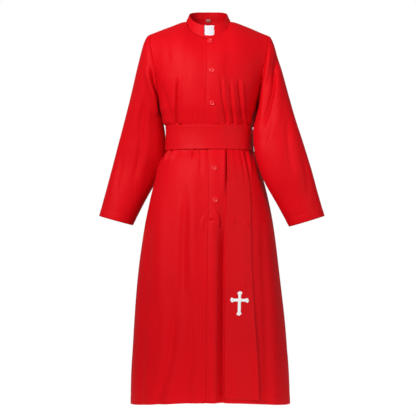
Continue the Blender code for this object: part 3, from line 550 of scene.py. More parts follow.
def panel_levels():
    """The levels of a panel's fine rows, from its top edge to its hem."""
    yoke = np.linspace(0.0, 1.0, YOKE_ROWS) ** 1.35
    rows = int((CHEST_HEIGHT - HEM_HEIGHT) / GRID_STEP)
    return np.concatenate([yoke[:-1], level_of(np.linspace(CHEST_HEIGHT, HEM_HEIGHT, rows))])


def hem_step(above, depth):
    """The turned hem's thickness below its upper edge, and the groove of its stitches."""
    step = HEM_STEP * (1.0 - ease(above, depth - 1.5, depth + 1.5))
    return step - HEM_GROOVE * np.exp(-(((above - depth) / 2.2) ** 2))


def panel_grid(side, starts, ends, count, lapping=False):
    """Fine rows of points of a folded panel between two edges, given as shares across at each level."""
    levels = panel_levels()[:, None] * np.ones(count + 1)
    across = starts[:, None] + (ends - starts)[:, None] * np.linspace(0.0, 1.0, count + 1)[None, :]
    whole = np.linspace(-1.0, 1.0, YOKE_COLUMNS)
    smooth = base_point(side, whole[None, :], levels[:, :1])
    yoke = YOKE_EVENING * ease(levels[:, :1], 0.0, 0.12) * (1.0 - ease(levels[:, :1], 1.0, 1.3))
    moved = relax(smooth.copy(), yoke + np.zeros_like(smooth[..., 0])) - smooth
    grid = base_point(side, across, levels)
    for row, places, change in zip(grid, across, moved):
        row += points_at(change, whole, places)
    x, z = grid[..., 0].copy(), grid[..., 2].copy()
    normal = grid_normals(grid)
    depth = fold_depth(FOLDS[side], x, z) * fold_share(side, x, z)
    slack = ease(np.abs(z - (SASH_TOP + SASH_BOTTOM) / 2), 50.0, 160.0) * ease(levels, 0.1, 0.6)
    depth += wander(side, x, z) * slack
    above_hem = CHEST_HEIGHT - (levels - 1.0) * LEVEL_STEP - HEM_HEIGHT
    depth += hem_step(above_hem, HEM_DEPTH)
    depth += np.exp(-(((above_hem - HEM_DEPTH) / 9.0) ** 2)) * wander("hem", x, z * 0.0)
    if side == "front":
        near_neck = 1.0 - ease(np.abs(across), 0.5 * NECK_SHARE, 0.9 * NECK_SHARE)
        depth -= NECK_GROOVE * (1.0 - ease(levels, 0.0, 0.08)) * near_neck
    else:
        near_side = np.exp(-(((across - 0.87) / 0.1) ** 2)) * ease(1.0 - across, 0.0, 0.06)
        swell = SIDE_SWELL * (np.exp(-(((z + 335) / 40) ** 2)) + np.exp(-(((z + 462) / 16) ** 2)))
        depth += near_side * swell * fold_share(side, x, z)
    if lapping:
        depth += lap_lift(levels, x)
    return grid + normal * depth[..., None]


def link_object(name, mesh):
    """An object with that mesh, in the scene."""
    piece = bpy.data.objects.new(name, mesh)
    bpy.context.scene.collection.objects.link(piece)
    return piece


def new_mesh_object(name, points, faces):
    """An object with a mesh from points in millimetres."""
    mesh = bpy.data.meshes.new(name)
    mesh.from_pydata([tuple(point) for point in np.asarray(points) * MM], [], faces)
    mesh.update()
    mesh.shade_smooth()
    return link_object(name, mesh)


def object_from(shape, name):
    """An object made of a finished bmesh."""
    mesh = bpy.data.meshes.new(name)
    shape.to_mesh(mesh)
    shape.free()
    return link_object(name, mesh)


def grid_faces(rows, columns, closed=False, flip=False):
    """The faces between a grid's points."""
    faces = []
    for r in range(rows - 1):
        for c in range(columns if closed else columns - 1):
            after = (c + 1) % columns
            face = (r * columns + c, (r + 1) * columns + c, (r + 1) * columns + after, r * columns + after)
            faces.append(face[::-1] if flip else face)
    return faces


def lay_flat(piece, grid, grain, closed, flip):
    """Gives the piece a flat map in metres, with the warp down the grid and true at the column called grain."""
    looped = np.concatenate([grid, grid[:, :1]], axis=1) if closed else grid
    across = np.array([run_of(row) for row in looped])
    across = across - across[:, grain][:, None]
    down = run_of(looped[:, looped.shape[1] // 2])[:, None] + np.zeros_like(across)
    place = np.stack([across, down], axis=-1) * MM
    corners = [place[:-1, :-1], place[1:, :-1], place[1:, 1:], place[:-1, 1:]]
    corners = np.stack(corners[::-1] if flip else corners, axis=2)
    layer = piece.data.uv_layers.new(name=CLOTH_MAP)
    layer.data.foreach_set("uv", corners.astype(np.float32).ravel())


def dress(piece, slot, node=None, finish=None):
    """Gives a piece the material of its finish or slot, attaches it to the root body, and hides the solid it stands for
    if one is named.
    """
    piece.data.materials.append(FINISHES[finish or slot])
    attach(piece, "root")
    if node:
        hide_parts(node)
    return piece


def cloth_shell(name, grid, thickness, node, slot="red_cloth", closed=False, flip=False, grain=0):
    """A thin piece of cloth through the grid, which stands for one solid of the part."""
    piece = new_mesh_object(name, grid.reshape(-1, 3), grid_faces(*grid.shape[:2], closed, flip))
    lay_flat(piece, grid, grain, closed, flip)
    solid = piece.modifiers.new("thickness", "SOLIDIFY")
    solid.thickness = thickness * MM
    solid.offset = -1.0
    solid.use_quality_normals = True
    solid.use_rim = True
    return dress(piece, slot, node)


def armhole_point(sign, turn, edges):
    """Points of the armhole's edge, with turn 0 at the shoulder, a quarter in front, a half underneath."""
    top = SHOULDER_SEAM[-1].height - (LEFT_SHOULDER_DROP if sign > 0 else 0.0)
    height = (top + UNDERARM_HEIGHT) / 2 + (top - UNDERARM_HEIGHT) / 2 * np.cos(turn)
    level = np.where(height < CHEST_HEIGHT, level_of(height), (top - height) / (top - CHEST_HEIGHT))
    front, back = [points_at(edge, panel_levels(), level) for edge in edges]
    return np.where((np.sin(turn) >= 0)[:, None], front, back)


def sleeve_grid(name, rings, sign, edges):
    """A fine sleeve: a tube from the armhole's edge to the open cuff."""
    places = range(len(rings))
    read = {field: curve(places, [getattr(ring, field) for ring in rings]) for field in rings[0]._fields}
    rows = np.concatenate([np.linspace(0, 2, 26)[:-1], np.linspace(2, 10, 150)])
    turns = np.arange(SLEEVE_COLUMNS) * 2 * math.pi / SLEEVE_COLUMNS
    place, turn = np.meshgrid(rows, turns, indexing="ij")
    facing = np.sin(turn)

    def ellipse(place):
        outer, inner = [np.stack([read[line + "_x"](place), read[line + "_z"](place)]) for line in ("outer", "inner")]
        x, z = (outer + inner) / 2 + (outer - inner) / 2 * np.cos(turn)
        return np.stack([x * sign, read["centre_y"](place) - read["half_depth"](place) * facing, z], axis=-1)

    grid = ellipse(place)
    settle = (1.0 - ease(place, 0.0, 2.0))[..., None]
    grid = grid + (armhole_point(sign, turns, edges)[None] - ellipse(np.zeros_like(turn))) * settle
    grid[..., 0] -= sign * TUCK * (1.0 - ease(place, 0.0, 0.2))
    normal = tube_normals(grid, flip=sign > 0)
    across, z = np.abs(grid[..., 0]), grid[..., 2].copy()
    front, back = [fold_depth(FOLDS[f"{name}_{side}"], across, z) for side in ("front", "back")]
    depth = np.where(facing >= 0, front, back) * np.sqrt(np.abs(facing)) * ease(place, 0.0, 0.7)
    depth += wander(name, across + 400 * (facing < 0), z) * np.abs(facing) * ease(place, 0.5, 3.0)
    depth += hem_step(read["outer_z"](place) - rings[-1].outer_z, CUFF_DEPTH)
    depth -= ARMHOLE_GROOVE * (1.0 - ease(place, 0.0, 0.35))
    return grid + normal * depth[..., None]


def collar_point(angle, share, lift=0.0):
    """Points of the collar band, with the angle in degrees from the front and share 0 at its seam."""
    turn = np.radians(angle)
    plain = np.abs((angle + 180.0) % 360.0 - 180.0)
    base_z = NECK["base"](plain) + COLLAR_RISE
    half_width = NECK_HALF_WIDTH + (NECK_TOP_HALF_WIDTH - NECK_HALF_WIDTH) * share + lift
    half_depth = NECK_HALF_DEPTH + (NECK_TOP_HALF_DEPTH - NECK_HALF_DEPTH) * share + lift
    x = NECK_X + half_width * np.sin(turn)
    y = SIDE_Y - half_depth * np.cos(turn)
    return np.stack([x, y, base_z + (NECK["top"](plain) - base_z) * share], axis=-1)


def collar_angle(x):
    """The angle at which the collar band's middle line has that x, near the front."""
    return math.degrees(math.asin((x - NECK_X) / ((NECK_HALF_WIDTH + NECK_TOP_HALF_WIDTH) / 2)))


def collar_height(angle):
    """The height of the collar band at an angle."""
    return float(collar_point(angle, 1.0)[2] - collar_point(angle, 0.0)[2])


def notch_cutter():
    """An upright block with two rounded lower corners, which opens the front of the collar band."""
    top = float(collar_point(0.0, 1.0)[2])
    half = NOTCH_WIDTH / 2
    outline = [(NOTCH_X + half, top + 20.0), (NOTCH_X - half, top + 20.0)]
    for way, start in ((-1, 180), (1, 270)):
        for turn in np.radians(np.linspace(start, start + 90, 9)):
            x = NOTCH_X + way * (half - NOTCH_CORNER) + NOTCH_CORNER * math.cos(turn)
            outline.append((x, top - NOTCH_DEPTH + NOTCH_CORNER + NOTCH_CORNER * math.sin(turn)))
    near_y = -NECK_HALF_DEPTH - 14.0
    count = len(outline)
    points = [(x, y, z) for y in (near_y, near_y + NECK_HALF_DEPTH) for x, z in outline]
    faces = [tuple(range(count)), tuple(range(count, 2 * count))[::-1]]
    for i in range(count):
        after = (i + 1) % count
        faces.append((after, i, i + count, after + count))
    cutter = new_mesh_object("notch_cutter", points, faces)
    cutter.data.shade_flat()
    return cutter


def cut(piece, cutter):
    """Cuts an object's shape out of a piece for good, and removes that object."""
    tool = piece.modifiers.new("cut", "BOOLEAN")
    tool.operation = "DIFFERENCE"
    tool.object = cutter
    bpy.context.view_layer.update()
    graph = bpy.context.evaluated_depsgraph_get()
    mesh = bpy.data.meshes.new_from_object(piece.evaluated_get(graph))
    piece.modifiers.clear()
    piece.data = mesh
    bpy.data.objects.remove(cutter)


def make_collar():
    """The stand collar, a stiffened band with a notch in front for the tab."""
    angles = np.linspace(collar_angle(NOTCH_X + 0.1), 360.0 + collar_angle(NOTCH_X - 0.1), 221)
    shares = np.linspace(1.0, -0.09, 14)
    share, angle = np.meshgrid(shares, angles, indexing="ij")
    bulge = 0.8 * np.sin(math.pi * np.clip(share, 0, 1)) + COLLAR_STAND * (1.0 - ease(share, 0.0, 0.5))
    grid = collar_point(angle, share, bulge)
    piece = cloth_shell("collar_band_cloth", grid, COLLAR_WALL, "collar_band")
    cut(piece, notch_cutter())
    soften(piece, 0.6)
    normals = grid_normals(grid)
    clear = np.abs((angles + 180.0) % 360.0 - 180.0) > 19.0
    upper, upper_outs = inset_line(grid, normals, 4.0, "top")
    _, lower_outs = inset_line(grid, normals, 31.0, "top")
    lower = np.array([points_at(column[::-1], shares[::-1], 0.12) for column in grid.swapaxes(0, 1)])
    runs = [(upper[clear], upper_outs[clear]), (lower[clear], lower_outs[clear])]
    stitches = add_stitches("collar_stitches", runs)


def soften(piece, width):
    """Rounds a piece's sharp edges."""
    bevel = piece.modifiers.new("soft_edges", "BEVEL")
    bevel.width = width * MM
    bevel.segments = 2
    bevel.limit_method = "ANGLE"
    bevel.angle_limit = math.radians(50)
    bevel.harden_normals = False


def make_tab():
    """The white tab, tucked behind both sides of the notch."""
    left, right = [collar_angle(NOTCH_X + way * (NOTCH_WIDTH / 2 + TAB_TUCK)) for way in (-1, 1)]
    low = 1.0 - (NOTCH_DEPTH + 3.0) / collar_height(0.0)
    share, angle = np.meshgrid(np.linspace(1.0, low, 13), np.linspace(left, right, 31), indexing="ij")
    grid = collar_point(angle, share, -(COLLAR_WALL + SEAM + 0.1))
    grid[..., 2] = np.minimum(grid[..., 2], collar_point(np.zeros_like(share), share)[..., 2] + 1.5)
    soften(cloth_shell("collar_tab_white", grid, 1.2, "collar_tab", slot="white_tab"), 0.3)


def make_label():
    """A small blank woven label inside the back of the neck."""
    reach = collar_angle(NECK_X + 8.0)
    shares = np.linspace(10.0 / collar_height(180.0), 0.0, 7)
    share, angle = np.meshgrid(shares, np.linspace(180 - reach, 180 + reach, 11), indexing="ij")
    grid = collar_point(angle, share, -(COLLAR_WALL + SEAM + 0.5))
    grid[..., 1] -= 0.35 * np.sin(math.pi * (angle - 180 + reach) / (2 * reach))
    piece = cloth_shell("neck_label_woven", grid, 0.5, "neck_label", slot="label_cloth", flip=True)


def make_panels():
    """The two fronts and the back. Returns the left front, and the armhole edges of each side for the sleeves."""
    levels = panel_levels()
    lap_x = FRONT["lap"](height_of(levels))
    lap, under = [across_at("front", levels, x) for x in (lap_x, lap_x + LAP_WIDTH)]
    ones = np.ones_like(levels)
    right = panel_grid("front", -ones, under, 84)
    left = panel_grid("front", lap, ones, 84, lapping=True)
    back = panel_grid("back", ones, -ones, 130)
    above_hem = levels <= level_of(HEM_HEIGHT + HEM_DEPTH + 6)
    hem_row = int(np.argmax(levels > level_of(HEM_HEIGHT + HEM_DEPTH - 2)))
    pieces = {}
    for name, grid, grain in (("front_right", right, -1), ("front_left", left, 0), ("back", back, 65)):
        piece = pieces[name] = cloth_shell(name + "_cloth", grid, CLOTH, name, grain=grain)
        normals = grid_normals(grid)
        runs = [(grid[hem_row], normals[hem_row])]
        if name == "front_left":
            lines = [inset_line(grid, normals, inset, "left") for inset in LAP_STITCH_INSETS]
            runs += [(points[above_hem], outs[above_hem]) for points, outs in lines]
        stitches = add_stitches(name + "_stitches", runs)
    edges = {"right": (right[:, 0], back[:, -1]), "left": (left[:, -1], back[:, 0])}
    return pieces["front_left"], edges


def make_sleeves(edges):
    """Both sleeves."""
    for side, rings, sign in (("right", SLEEVE_RIGHT, -1), ("left", SLEEVE_LEFT, 1)):
        name = f"sleeve_{side}"
        grid = sleeve_grid(name, rings, sign, edges[side])
        piece = cloth_shell(name + "_cloth", grid, CLOTH, name, closed=True, flip=sign > 0)
        looped = np.concatenate([grid, grid[:, :2]], axis=1)
        hem = inset_line(looped, grid_normals(looped, flip=sign > 0), CUFF_DEPTH - 1.5, "bottom")
        stitches = add_stitches(f"cuff_stitches_{side}", [hem])


def make_sash():
    """The wide band round the waist, which steps up over the lap."""
    levels = level_of(np.linspace(SASH_TOP, SASH_BOTTOM, 25))
    share, level = np.meshgrid(np.linspace(-1.0, 1.0, SASH_COLUMNS, endpoint=False), levels, indexing="xy")
    front = base_point("front", share, level)
    lap = FRONT["lap"](front[..., 2])
    over = over_lap(front[..., 0], lap) * ease(front[..., 0], lap - 70, lap)
    grid = np.concatenate([front, base_point("back", -share, level)], axis=1)
    lift = np.concatenate([over, np.zeros_like(over)], axis=1) + SEAM + 0.2 + WALL
    lift = lift + wander("sash_band", grid[..., 0] + 500 * (grid[..., 1] > SIDE_Y), grid[..., 2])
    grid = grid + tube_normals(grid) * lift[..., None]
    piece = cloth_shell("sash_band_cloth", grid, SASH_CLOTH, "sash_band", slot="sash_cloth", closed=True)
    looped = np.concatenate([grid, grid[:, :2]], axis=1)
    normals = grid_normals(looped)
    runs = [inset_line(looped, normals, SASH_STITCH_INSET, edge) for edge in ("top", "bottom")]
    stitches = add_stitches("sash_band_stitches", runs, slot="sash_cloth")


def tail_lift(share, height):
    """The sash end lies on the skirt, and a few gathers stand out where it leaves the band."""
    drop = SASH_BOTTOM - height
    gathers = 0.9 * (1.0 + np.cos(2 * math.pi * 3.0 * share)) / 2
    lift = SEAM + 0.3 + WALL + gathers * (1.0 - ease(drop, 10.0, 170.0)) * ease(drop, 0.0, 8.0)
    return lift + TAIL_EDGE_LIFT * ease(share, 0.75, 1.0) * ease(drop, 380.0, 800.0)


def make_tail():
    """The hanging end of the sash, with its cross."""
    levels = level_of(np.linspace(SASH_BOTTOM + 6.0, HEM_HEIGHT + TAIL_END_ABOVE_HEM, TAIL_ROWS))
    middle = height_of(levels)
    left, right = [across_at("front", levels, FRONT[edge](middle)) for edge in ("tail_left", "tail_right")]
    share, level = np.meshgrid(np.linspace(0.0, 1.0, TAIL_COLUMNS), levels, indexing="xy")
    grid = base_point("front", left[:, None] + (right - left)[:, None] * share, level)
    x, z = grid[..., 0], grid[..., 2]
    lift = over_lap(x, FRONT["lap"](middle)[:, None])
    lift = lift + tail_lift(share, middle[:, None]) + fold_depth(FOLDS["sash_tail"], x, z)
    lift = lift - 2.4 * (1.0 - ease(SASH_BOTTOM - z, -5.0, 6.0))
    lift = lift + wander("sash_tail", x, z) * ease(SASH_BOTTOM - z, 40.0, 200.0)
    grid = grid + grid_normals(grid) * lift[..., None]
    piece = cloth_shell("sash_tail_cloth", grid, SASH_CLOTH, "sash_tail", slot="sash_cloth")
    normals = grid_normals(grid)
    runs = [inset_line(grid, normals, SASH_STITCH_INSET, edge) for edge in ("left", "right", "bottom")]
    stitches = add_stitches("sash_tail_stitches", runs, slot="sash_cloth")
    cross, padding = make_cross(piece)


def surface_tree(piece):
    """The outer surface of a piece, for setting small things on it."""
    mesh = piece.data
    return BVHTree.FromPolygons([v.co for v in mesh.vertices], [p.vertices for p in mesh.polygons])


def place_on(tree, x, z):
    """The point and outward direction of a surface that is seen from the front at x and z."""
    hit, normal, _, _ = tree.ray_cast(Vector((x * MM, -1.0, z * MM)), Vector((0.0, 1.0, 0.0)))
    if normal.y > 0:
        normal = -normal
    return np.array(hit) / MM, np.array(normal)


def unit(vectors):
    """Vectors at length one."""
    return vectors / np.linalg.norm(vectors, axis=-1, keepdims=True)


def thread_bars(name, middles, normals, directions, lengths, width, rise, dive=0.7):
    """One piece of many short rounded threads, each lying on the cloth and diving into it at both ends."""
    middles, normals, directions = np.array(middles), np.array(normals), unit(np.array(directions))
    stations = np.array([-0.5, -0.44, -0.28, 0.0, 0.28, 0.44, 0.5])
    fullness = np.array([0.3, 0.75, 1.0, 1.0, 1.0, 0.75, 0.3])[:, None]
    drop = -dive * (np.abs(stations) * 2) ** 5
    turns = np.arange(6) * math.pi / 3
    normals = unit(normals - directions * (normals * directions).sum(axis=1, keepdims=True))
    along = (stations[None, :, None] * np.asarray(lengths)[:, None, None]) * np.ones(6)
    up = (fullness * np.sin(turns) * rise + drop[:, None] * rise)[None] + 0.25 * rise
    out = (fullness * np.cos(turns) * width / 2)[None]
    points = middles[:, None, None]
    for ways, amounts in ((directions, along), (normals, up), (np.cross(normals, directions), out)):
        points = points + ways[:, None, None] * amounts[..., None]
    faces = []
    size = len(stations) * 6
    for start in range(0, len(middles) * size, size):
        for s in range(len(stations) - 1):
            for t in range(6):
                one, two = start + s * 6 + t, start + s * 6 + (t + 1) % 6
                faces.append((one, two, two + 6, one + 6))
        faces.append(tuple(start + t for t in reversed(range(6))))
        faces.append(tuple(start + size - 6 + t for t in range(6)))
    return new_mesh_object(name, points.reshape(-1, 3), faces)


def stitch_run(points, normals):
    """Evenly spaced stitches along a line of points: their middles, normals, directions and lengths."""
    run = run_of(points)
    count = max(2, int(run[-1] / STITCH_PITCH))
    places = (np.arange(count) + 0.5) * run[-1] / count
    directions = points_at(points, run, places + 0.8) - points_at(points, run, places - 0.8)
    lengths = np.full(count, STITCH_SHARE * STITCH_PITCH)
    return points_at(points, run, places), points_at(normals, run, places), directions, lengths


def inset_line(grid, normals, distance, edge):
    """The line at a distance inside one edge of a grid, named left, right, top or bottom."""
    if edge in ("top", "bottom"):
        grid, normals = grid.swapaxes(0, 1), normals.swapaxes(0, 1)
    if edge in ("right", "bottom"):
        grid, normals = grid[:, ::-1], normals[:, ::-1]
    lines = [(row, out, run_of(row)) for row, out in zip(grid[:, :24], normals[:, :24])]
    points = [points_at(row, run, distance) for row, _, run in lines]
    return np.array(points), np.array([points_at(out, run, distance) for _, out, run in lines])


def add_stitches(name, runs, slot="red_cloth"):
    """The stitches of one piece of cloth, in one piece of their own."""
    parts = [stitch_run(points, normals) for points, normals in runs]
    joined = [np.concatenate([part[k] for part in parts]) for k in range(4)]
    return dress(thread_bars(name, *joined, 0.5, 0.32), slot, finish="red_thread")


def turned_button(number, seat, normal, spin):
    """A button with a rolled rim, a dished middle, four holes and crossed thread."""
    shape = bmesh.new()
    line = [shape.verts.new((radius * MM, 0.0, height * MM)) for radius, height in BUTTON_OUTLINE]
    edges = [shape.edges.new(pair) for pair in zip(line, line[1:])]
    bmesh.ops.spin(
        shape, geom=line + edges, axis=(0, 0, 1), cent=(0, 0, 0), angle=2 * math.pi, steps=BUTTON_STEPS, use_merge=True
    )
    bmesh.ops.remove_doubles(shape, verts=shape.verts, dist=1e-6)
    bmesh.ops.recalc_face_normals(shape, faces=shape.faces)
    piece = object_from(shape, f"button_{number}_fine")
    drills = bmesh.new()
    for side_x in (-1, 1):
        for side_y in (-1, 1):
            place = Matrix.Translation((side_x * HOLE_REACH * MM, side_y * HOLE_REACH * MM, 0.0))
            hole = HOLE_RADIUS * MM
            bmesh.ops.create_cone(
                drills, cap_ends=True, segments=14, radius1=hole, radius2=hole, depth=8 * MM, matrix=place
            )
    cut(piece, object_from(drills, "drills"))
    turn = Vector(normal).to_track_quat("Z", "Y").to_matrix().to_4x4() @ Matrix.Rotation(spin, 4, "Z")
    placed = Matrix.Translation(Vector(seat) * MM) @ turn
    piece.data.transform(placed)
    piece.data.shade_smooth()
    dress(piece, "red_button", f"button_{number}")
    middles, ways = [], []
    for way_x, way_y in ((1, 1), (1, -1)):
        for aside in (-0.32, 0.0, 0.32):
            middles.append(placed @ Vector((-way_y * aside * MM, way_x * aside * MM, 1.55 * MM)) / MM)
            ways.append(turn @ Vector((way_x, way_y, 0.0)))
    outs = np.tile(np.asarray(normal), (len(ways), 1))
    reach = np.full(len(ways), 2.0 * HOLE_REACH * math.sqrt(2) + 0.9)
    thread = thread_bars(f"button_thread_{number}", middles, outs, ways, reach, 0.45, 0.4, dive=3.0)
    dress(thread, "red_cloth", finish="red_thread")


def make_buttons(front):
    """The five buttons, each a little turned, set on the lapping front."""
    tree = surface_tree(front)
    for number, (place, spin) in enumerate(zip(BUTTONS, BUTTON_SPINS), 1):
        seat, _ = place_on(tree, place.x, place.height)
        rim = [
            place_on(tree, place.x + BUTTON_RADIUS * math.cos(t), place.height + BUTTON_RADIUS * math.sin(t))
            for t in np.arange(8) * math.pi / 4
        ]
        normal = unit(unit(np.mean([out for _, out in rim], axis=0)) + np.array([0.0, -BUTTON_LEVEL, 0.0]))
        rise = max(float(np.dot(point - seat, normal)) for point, _ in rim)
        turned_button(number, seat + normal * (max(rise, 0.0) * 0.6), normal, spin)


def cross_half_width(arm, along):
    """Half the width of the cross's arm at a distance from its middle: a bar that ends in a pointed kite."""
    length = CROSS_ARMS[arm]
    places = [0.0, length - CROSS_FLARE_START, length - CROSS_FLARE_WIDEST, length]
    return float(np.interp(along, places, [CROSS_BAR, CROSS_BAR, CROSS_FLARE, 0.3]))


def make_cross(tail):
    """The cross in satin stitch: close threads laid a little aslant across each arm, over a padded ground."""
    tree = surface_tree(tail)
    tilt = math.radians(CROSS_TILT)

    def spot(way, along, aside):
        across, up = way[0] * along - way[1] * aside, way[1] * along + way[0] * aside
        x = CROSS_X + across * math.cos(tilt) + up * math.sin(tilt)
        return place_on(tree, x, CROSS_HEIGHT - across * math.sin(tilt) + up * math.cos(tilt))

    middles, outs, ways, lengths, points, faces = [], [], [], [], [], []
    for arm, way in {"up": (0, 1), "down": (0, -1), "left": (-1, 0), "right": (1, 0)}.items():
        start = 0.0 if way[0] == 0 else CROSS_BAR - 0.6
        for i in range(int((CROSS_ARMS[arm] - start) / THREAD_PITCH)):
            along = start + (i + 0.5) * THREAD_PITCH
            half = cross_half_width(arm, along)
            slant = THREAD_SLANT * half
            one, _ = spot(way, along - slant, half)
            two, _ = spot(way, along + slant, -half)
            middle, out = spot(way, along, 0.0)
            middles.append(middle + out * 0.85)
            outs.append(out)
            ways.append(two - one)
            lengths.append(max(1.2, float(np.linalg.norm(two - one))))
        first = len(points)
        faces += [tuple(first + corner for corner in face) for face in grid_faces(*PADDING_GRID)]
        for along in np.linspace(0.0, CROSS_ARMS[arm] - 0.8, PADDING_GRID[0]):
            half = max(0.2, cross_half_width(arm, along) - 0.7)
            for aside in np.linspace(-1.0, 1.0, PADDING_GRID[1]):
                point, out = spot(way, along, half * aside)
                points.append(point + out * (0.15 + 0.75 * math.sqrt(max(0.0, 1.0 - aside * aside))))
    cross = thread_bars("cross_satin_stitch", middles, outs, ways, lengths, 0.72, 0.38, dive=1.4)
    dress(cross, "white_embroidery", "cross_applique")
    padding = new_mesh_object("cross_padding", points, faces)
    solid = padding.modifiers.new("thickness", "SOLIDIFY")
    solid.thickness = 0.3 * MM
    return cross, dress(padding, "white_embroidery")


def feed(tree, node, inputs):
    """Fills a node's inputs: a socket is linked to its input, and any other value becomes its default."""
    for key, value in inputs.items():
        if isinstance(value, bpy.types.NodeSocket):
            tree.links.new(value, node.inputs[key])
        else:
            node.inputs[key].default_value = value


def add_node(tree, kind, output, inputs=None, **settings):
    """Adds a shader node with its settings and inputs, and returns one of its outputs."""
    node = tree.nodes.new("ShaderNode" + kind)
    for key, value in settings.items():
        setattr(node, key, value)
    feed(tree, node, inputs or {})
    return node.outputs[output]


def new_shader(name):
    """A new material, with its node tree and its main shader."""
    found = bpy.data.materials.new(name)
    found.use_nodes = True
    return found, found.node_tree, found.node_tree.nodes["Principled BSDF"]


def ramp(tree, source, stops):
    """A colour ramp fed by source."""
    node = tree.nodes.new("ShaderNodeValToRGB")
    elements = node.color_ramp.elements
    while len(elements) < len(stops):
        elements.new(0.5)
    for element, (place, color) in zip(elements, stops):
        element.position = place
        element.color = (*color, 1.0)
    feed(tree, node, {"Fac": source})
    return node.outputs["Color"]


def mottled(tree, source, shade, darkest):
    """A colour that goes down to a darkest share of its shade where source is low."""
    return ramp(tree, source, [(0.3, tuple(darkest * part for part in shade)), (0.7, shade)])


def cloth_finish(name, shade, weave, specular, rough, sheen):
    """A fine twill: slow changes of shade, diagonal ribs and crossing threads with painted shade in their valleys, and
    a soft sheen.
    """
    found, tree, shader = new_shader(name)
    place = add_node(tree, "TexCoord", "Object")
    flat = add_node(tree, "UVMap", "UV", uv_map=CLOTH_MAP)
    slow = add_node(tree, "TexNoise", "Fac", {"Vector": place, "Scale": 5.0, "Detail": 4.0, "Roughness": 0.55})
    fine = add_node(tree, "TexNoise", "Fac", {"Vector": place, "Scale": 900.0, "Detail": 2.0, "Roughness": 0.6})
    turned = add_node(tree, "Mapping", "Vector", {"Vector": flat, "Rotation": (0.0, 0.0, math.radians(TWILL_ANGLE))})
    rib_looks = {"Vector": turned, "Scale": WAVE_SCALE / weave, "Distortion": 0.6, "Detail": 1.0}
    rib = add_node(tree, "TexWave", "Fac", rib_looks)
    thread_looks = {"Vector": flat, "Scale": WAVE_SCALE / (0.55 * weave), "Distortion": 0.4, "Detail": 1.0}
    thread = add_node(tree, "TexWave", "Fac", thread_looks, bands_direction="Y")
    both = add_node(tree, "Math", 0, {0: thread, 1: 0.45, 2: rib}, operation="MULTIPLY_ADD")
    base = mottled(tree, slow, shade, 0.93)
    # Painted shade: the colour is darkened, and G and B more than R, where the weave pattern that drives the bump is
    # low, in its valleys
    valley_shade = ramp(tree, both, [(0.1, (0.9, 0.86, 0.86)), (0.8, (1.0, 1.0, 1.0))])
    weave_shaded_looks = {"Factor": 1.0, "A": base, "B": valley_shade}
    weave_shaded_colour = add_node(tree, "Mix", "Result", weave_shaded_looks, data_type="RGBA", blend_type="MULTIPLY")
    gloss = add_node(tree, "MapRange", "Result", {"Value": fine, "To Min": rough - 0.05, "To Max": rough + 0.07})
    tall = add_node(tree, "Mapping", "Vector", {"Vector": place, "Scale": (1.0, 1.0, 0.35)})
    crease = add_node(tree, "TexNoise", "Fac", {"Vector": tall, "Scale": 26.0, "Detail": 5.0, "Roughness": 0.6})
    soft = add_node(tree, "Bump", "Normal", {"Height": crease, "Strength": 0.35, "Distance": 0.0012})
    close = add_node(tree, "Bump", "Normal", {"Height": both, "Normal": soft, "Strength": 0.3, "Distance": 0.00012})
    feed(tree, shader, {
        "Base Color": weave_shaded_colour, "Roughness": gloss, "Normal": close, "Specular IOR Level": specular,
        "Sheen Weight": sheen, "Sheen Roughness": 0.45, "Sheen Tint": (1.0, 0.25, 0.25, 1.0),
    })
    return found


def thread_finish(name, shade, twist, specular):
    """Twisted thread: fine slanting plies, a little uneven in shade."""
    found, tree, shader = new_shader(name)
    place = add_node(tree, "TexCoord", "Object")
    ply_looks = {"Vector": place, "Scale": WAVE_SCALE / twist, "Distortion": 1.5, "Detail": 2.0}
    ply = add_node(tree, "TexWave", "Fac", ply_looks, bands_direction="DIAGONAL")
    slow = add_node(tree, "TexNoise", "Fac", {"Vector": place, "Scale": 60.0, "Detail": 3.0})
    gloss = add_node(tree, "MapRange", "Result", {"Value": ply, "To Min": 0.36, "To Max": 0.52})
    raised = add_node(tree, "Bump", "Normal", {"Height": ply, "Strength": 0.4, "Distance": 0.0001})
    feed(tree, shader, {
        "Base Color": mottled(tree, slow, shade, 0.9), "Roughness": gloss, "Normal": raised,
        "Specular IOR Level": specular, "Sheen Weight": 0.1,
    })
    return found


def hard_finish(name, shade, rough, specular, coat):
    """Moulded plastic: a faintly mottled colour, small scuffs and a slightly uneven gloss."""
    found, tree, shader = new_shader(name)
    place = add_node(tree, "TexCoord", "Object")
    cloudy = add_node(tree, "TexNoise", "Fac", {"Vector": place, "Scale": 70.0, "Detail": 4.0})
    scuffs = add_node(tree, "TexNoise", "Fac", {"Vector": place, "Scale": 900.0, "Detail": 3.0, "Roughness": 0.7})
    gloss = add_node(tree, "MapRange", "Result", {"Value": scuffs, "To Min": rough - 0.06, "To Max": rough + 0.1})
    grain = add_node(tree, "Bump", "Normal", {"Height": scuffs, "Strength": 0.12, "Distance": 0.0001})
    feed(tree, shader, {
        "Base Color": mottled(tree, cloudy, shade, 0.93), "Roughness": gloss, "Normal": grain,
        "Specular IOR Level": specular, "Coat Weight": coat,
    })
    return found


def make_finishes():
    """Every material, by name."""
    recipes = {
        "red_cloth": (cloth_finish, RED, 0.0008, 0.08, 0.55, 0.02),
        "sash_cloth": (cloth_finish, SASH_RED, 0.0007, 0.09, 0.52, 0.02),
        "label_cloth": (cloth_finish, LABEL_RED, 0.0006, 0.2, 0.6, 0.05),
        "red_thread": (thread_finish, RED, 0.0009, 0.25),
        "white_embroidery": (thread_finish, THREAD_WHITE, 0.0009, 0.35),
        "red_button": (hard_finish, BUTTON_RED, 0.34, 0.3, 0.08),
        "white_tab": (hard_finish, TAB_WHITE, 0.4, 0.35, 0.05),
    }
    for name, (recipe, *looks) in recipes.items():
        FINISHES[name] = recipe(name, *looks)


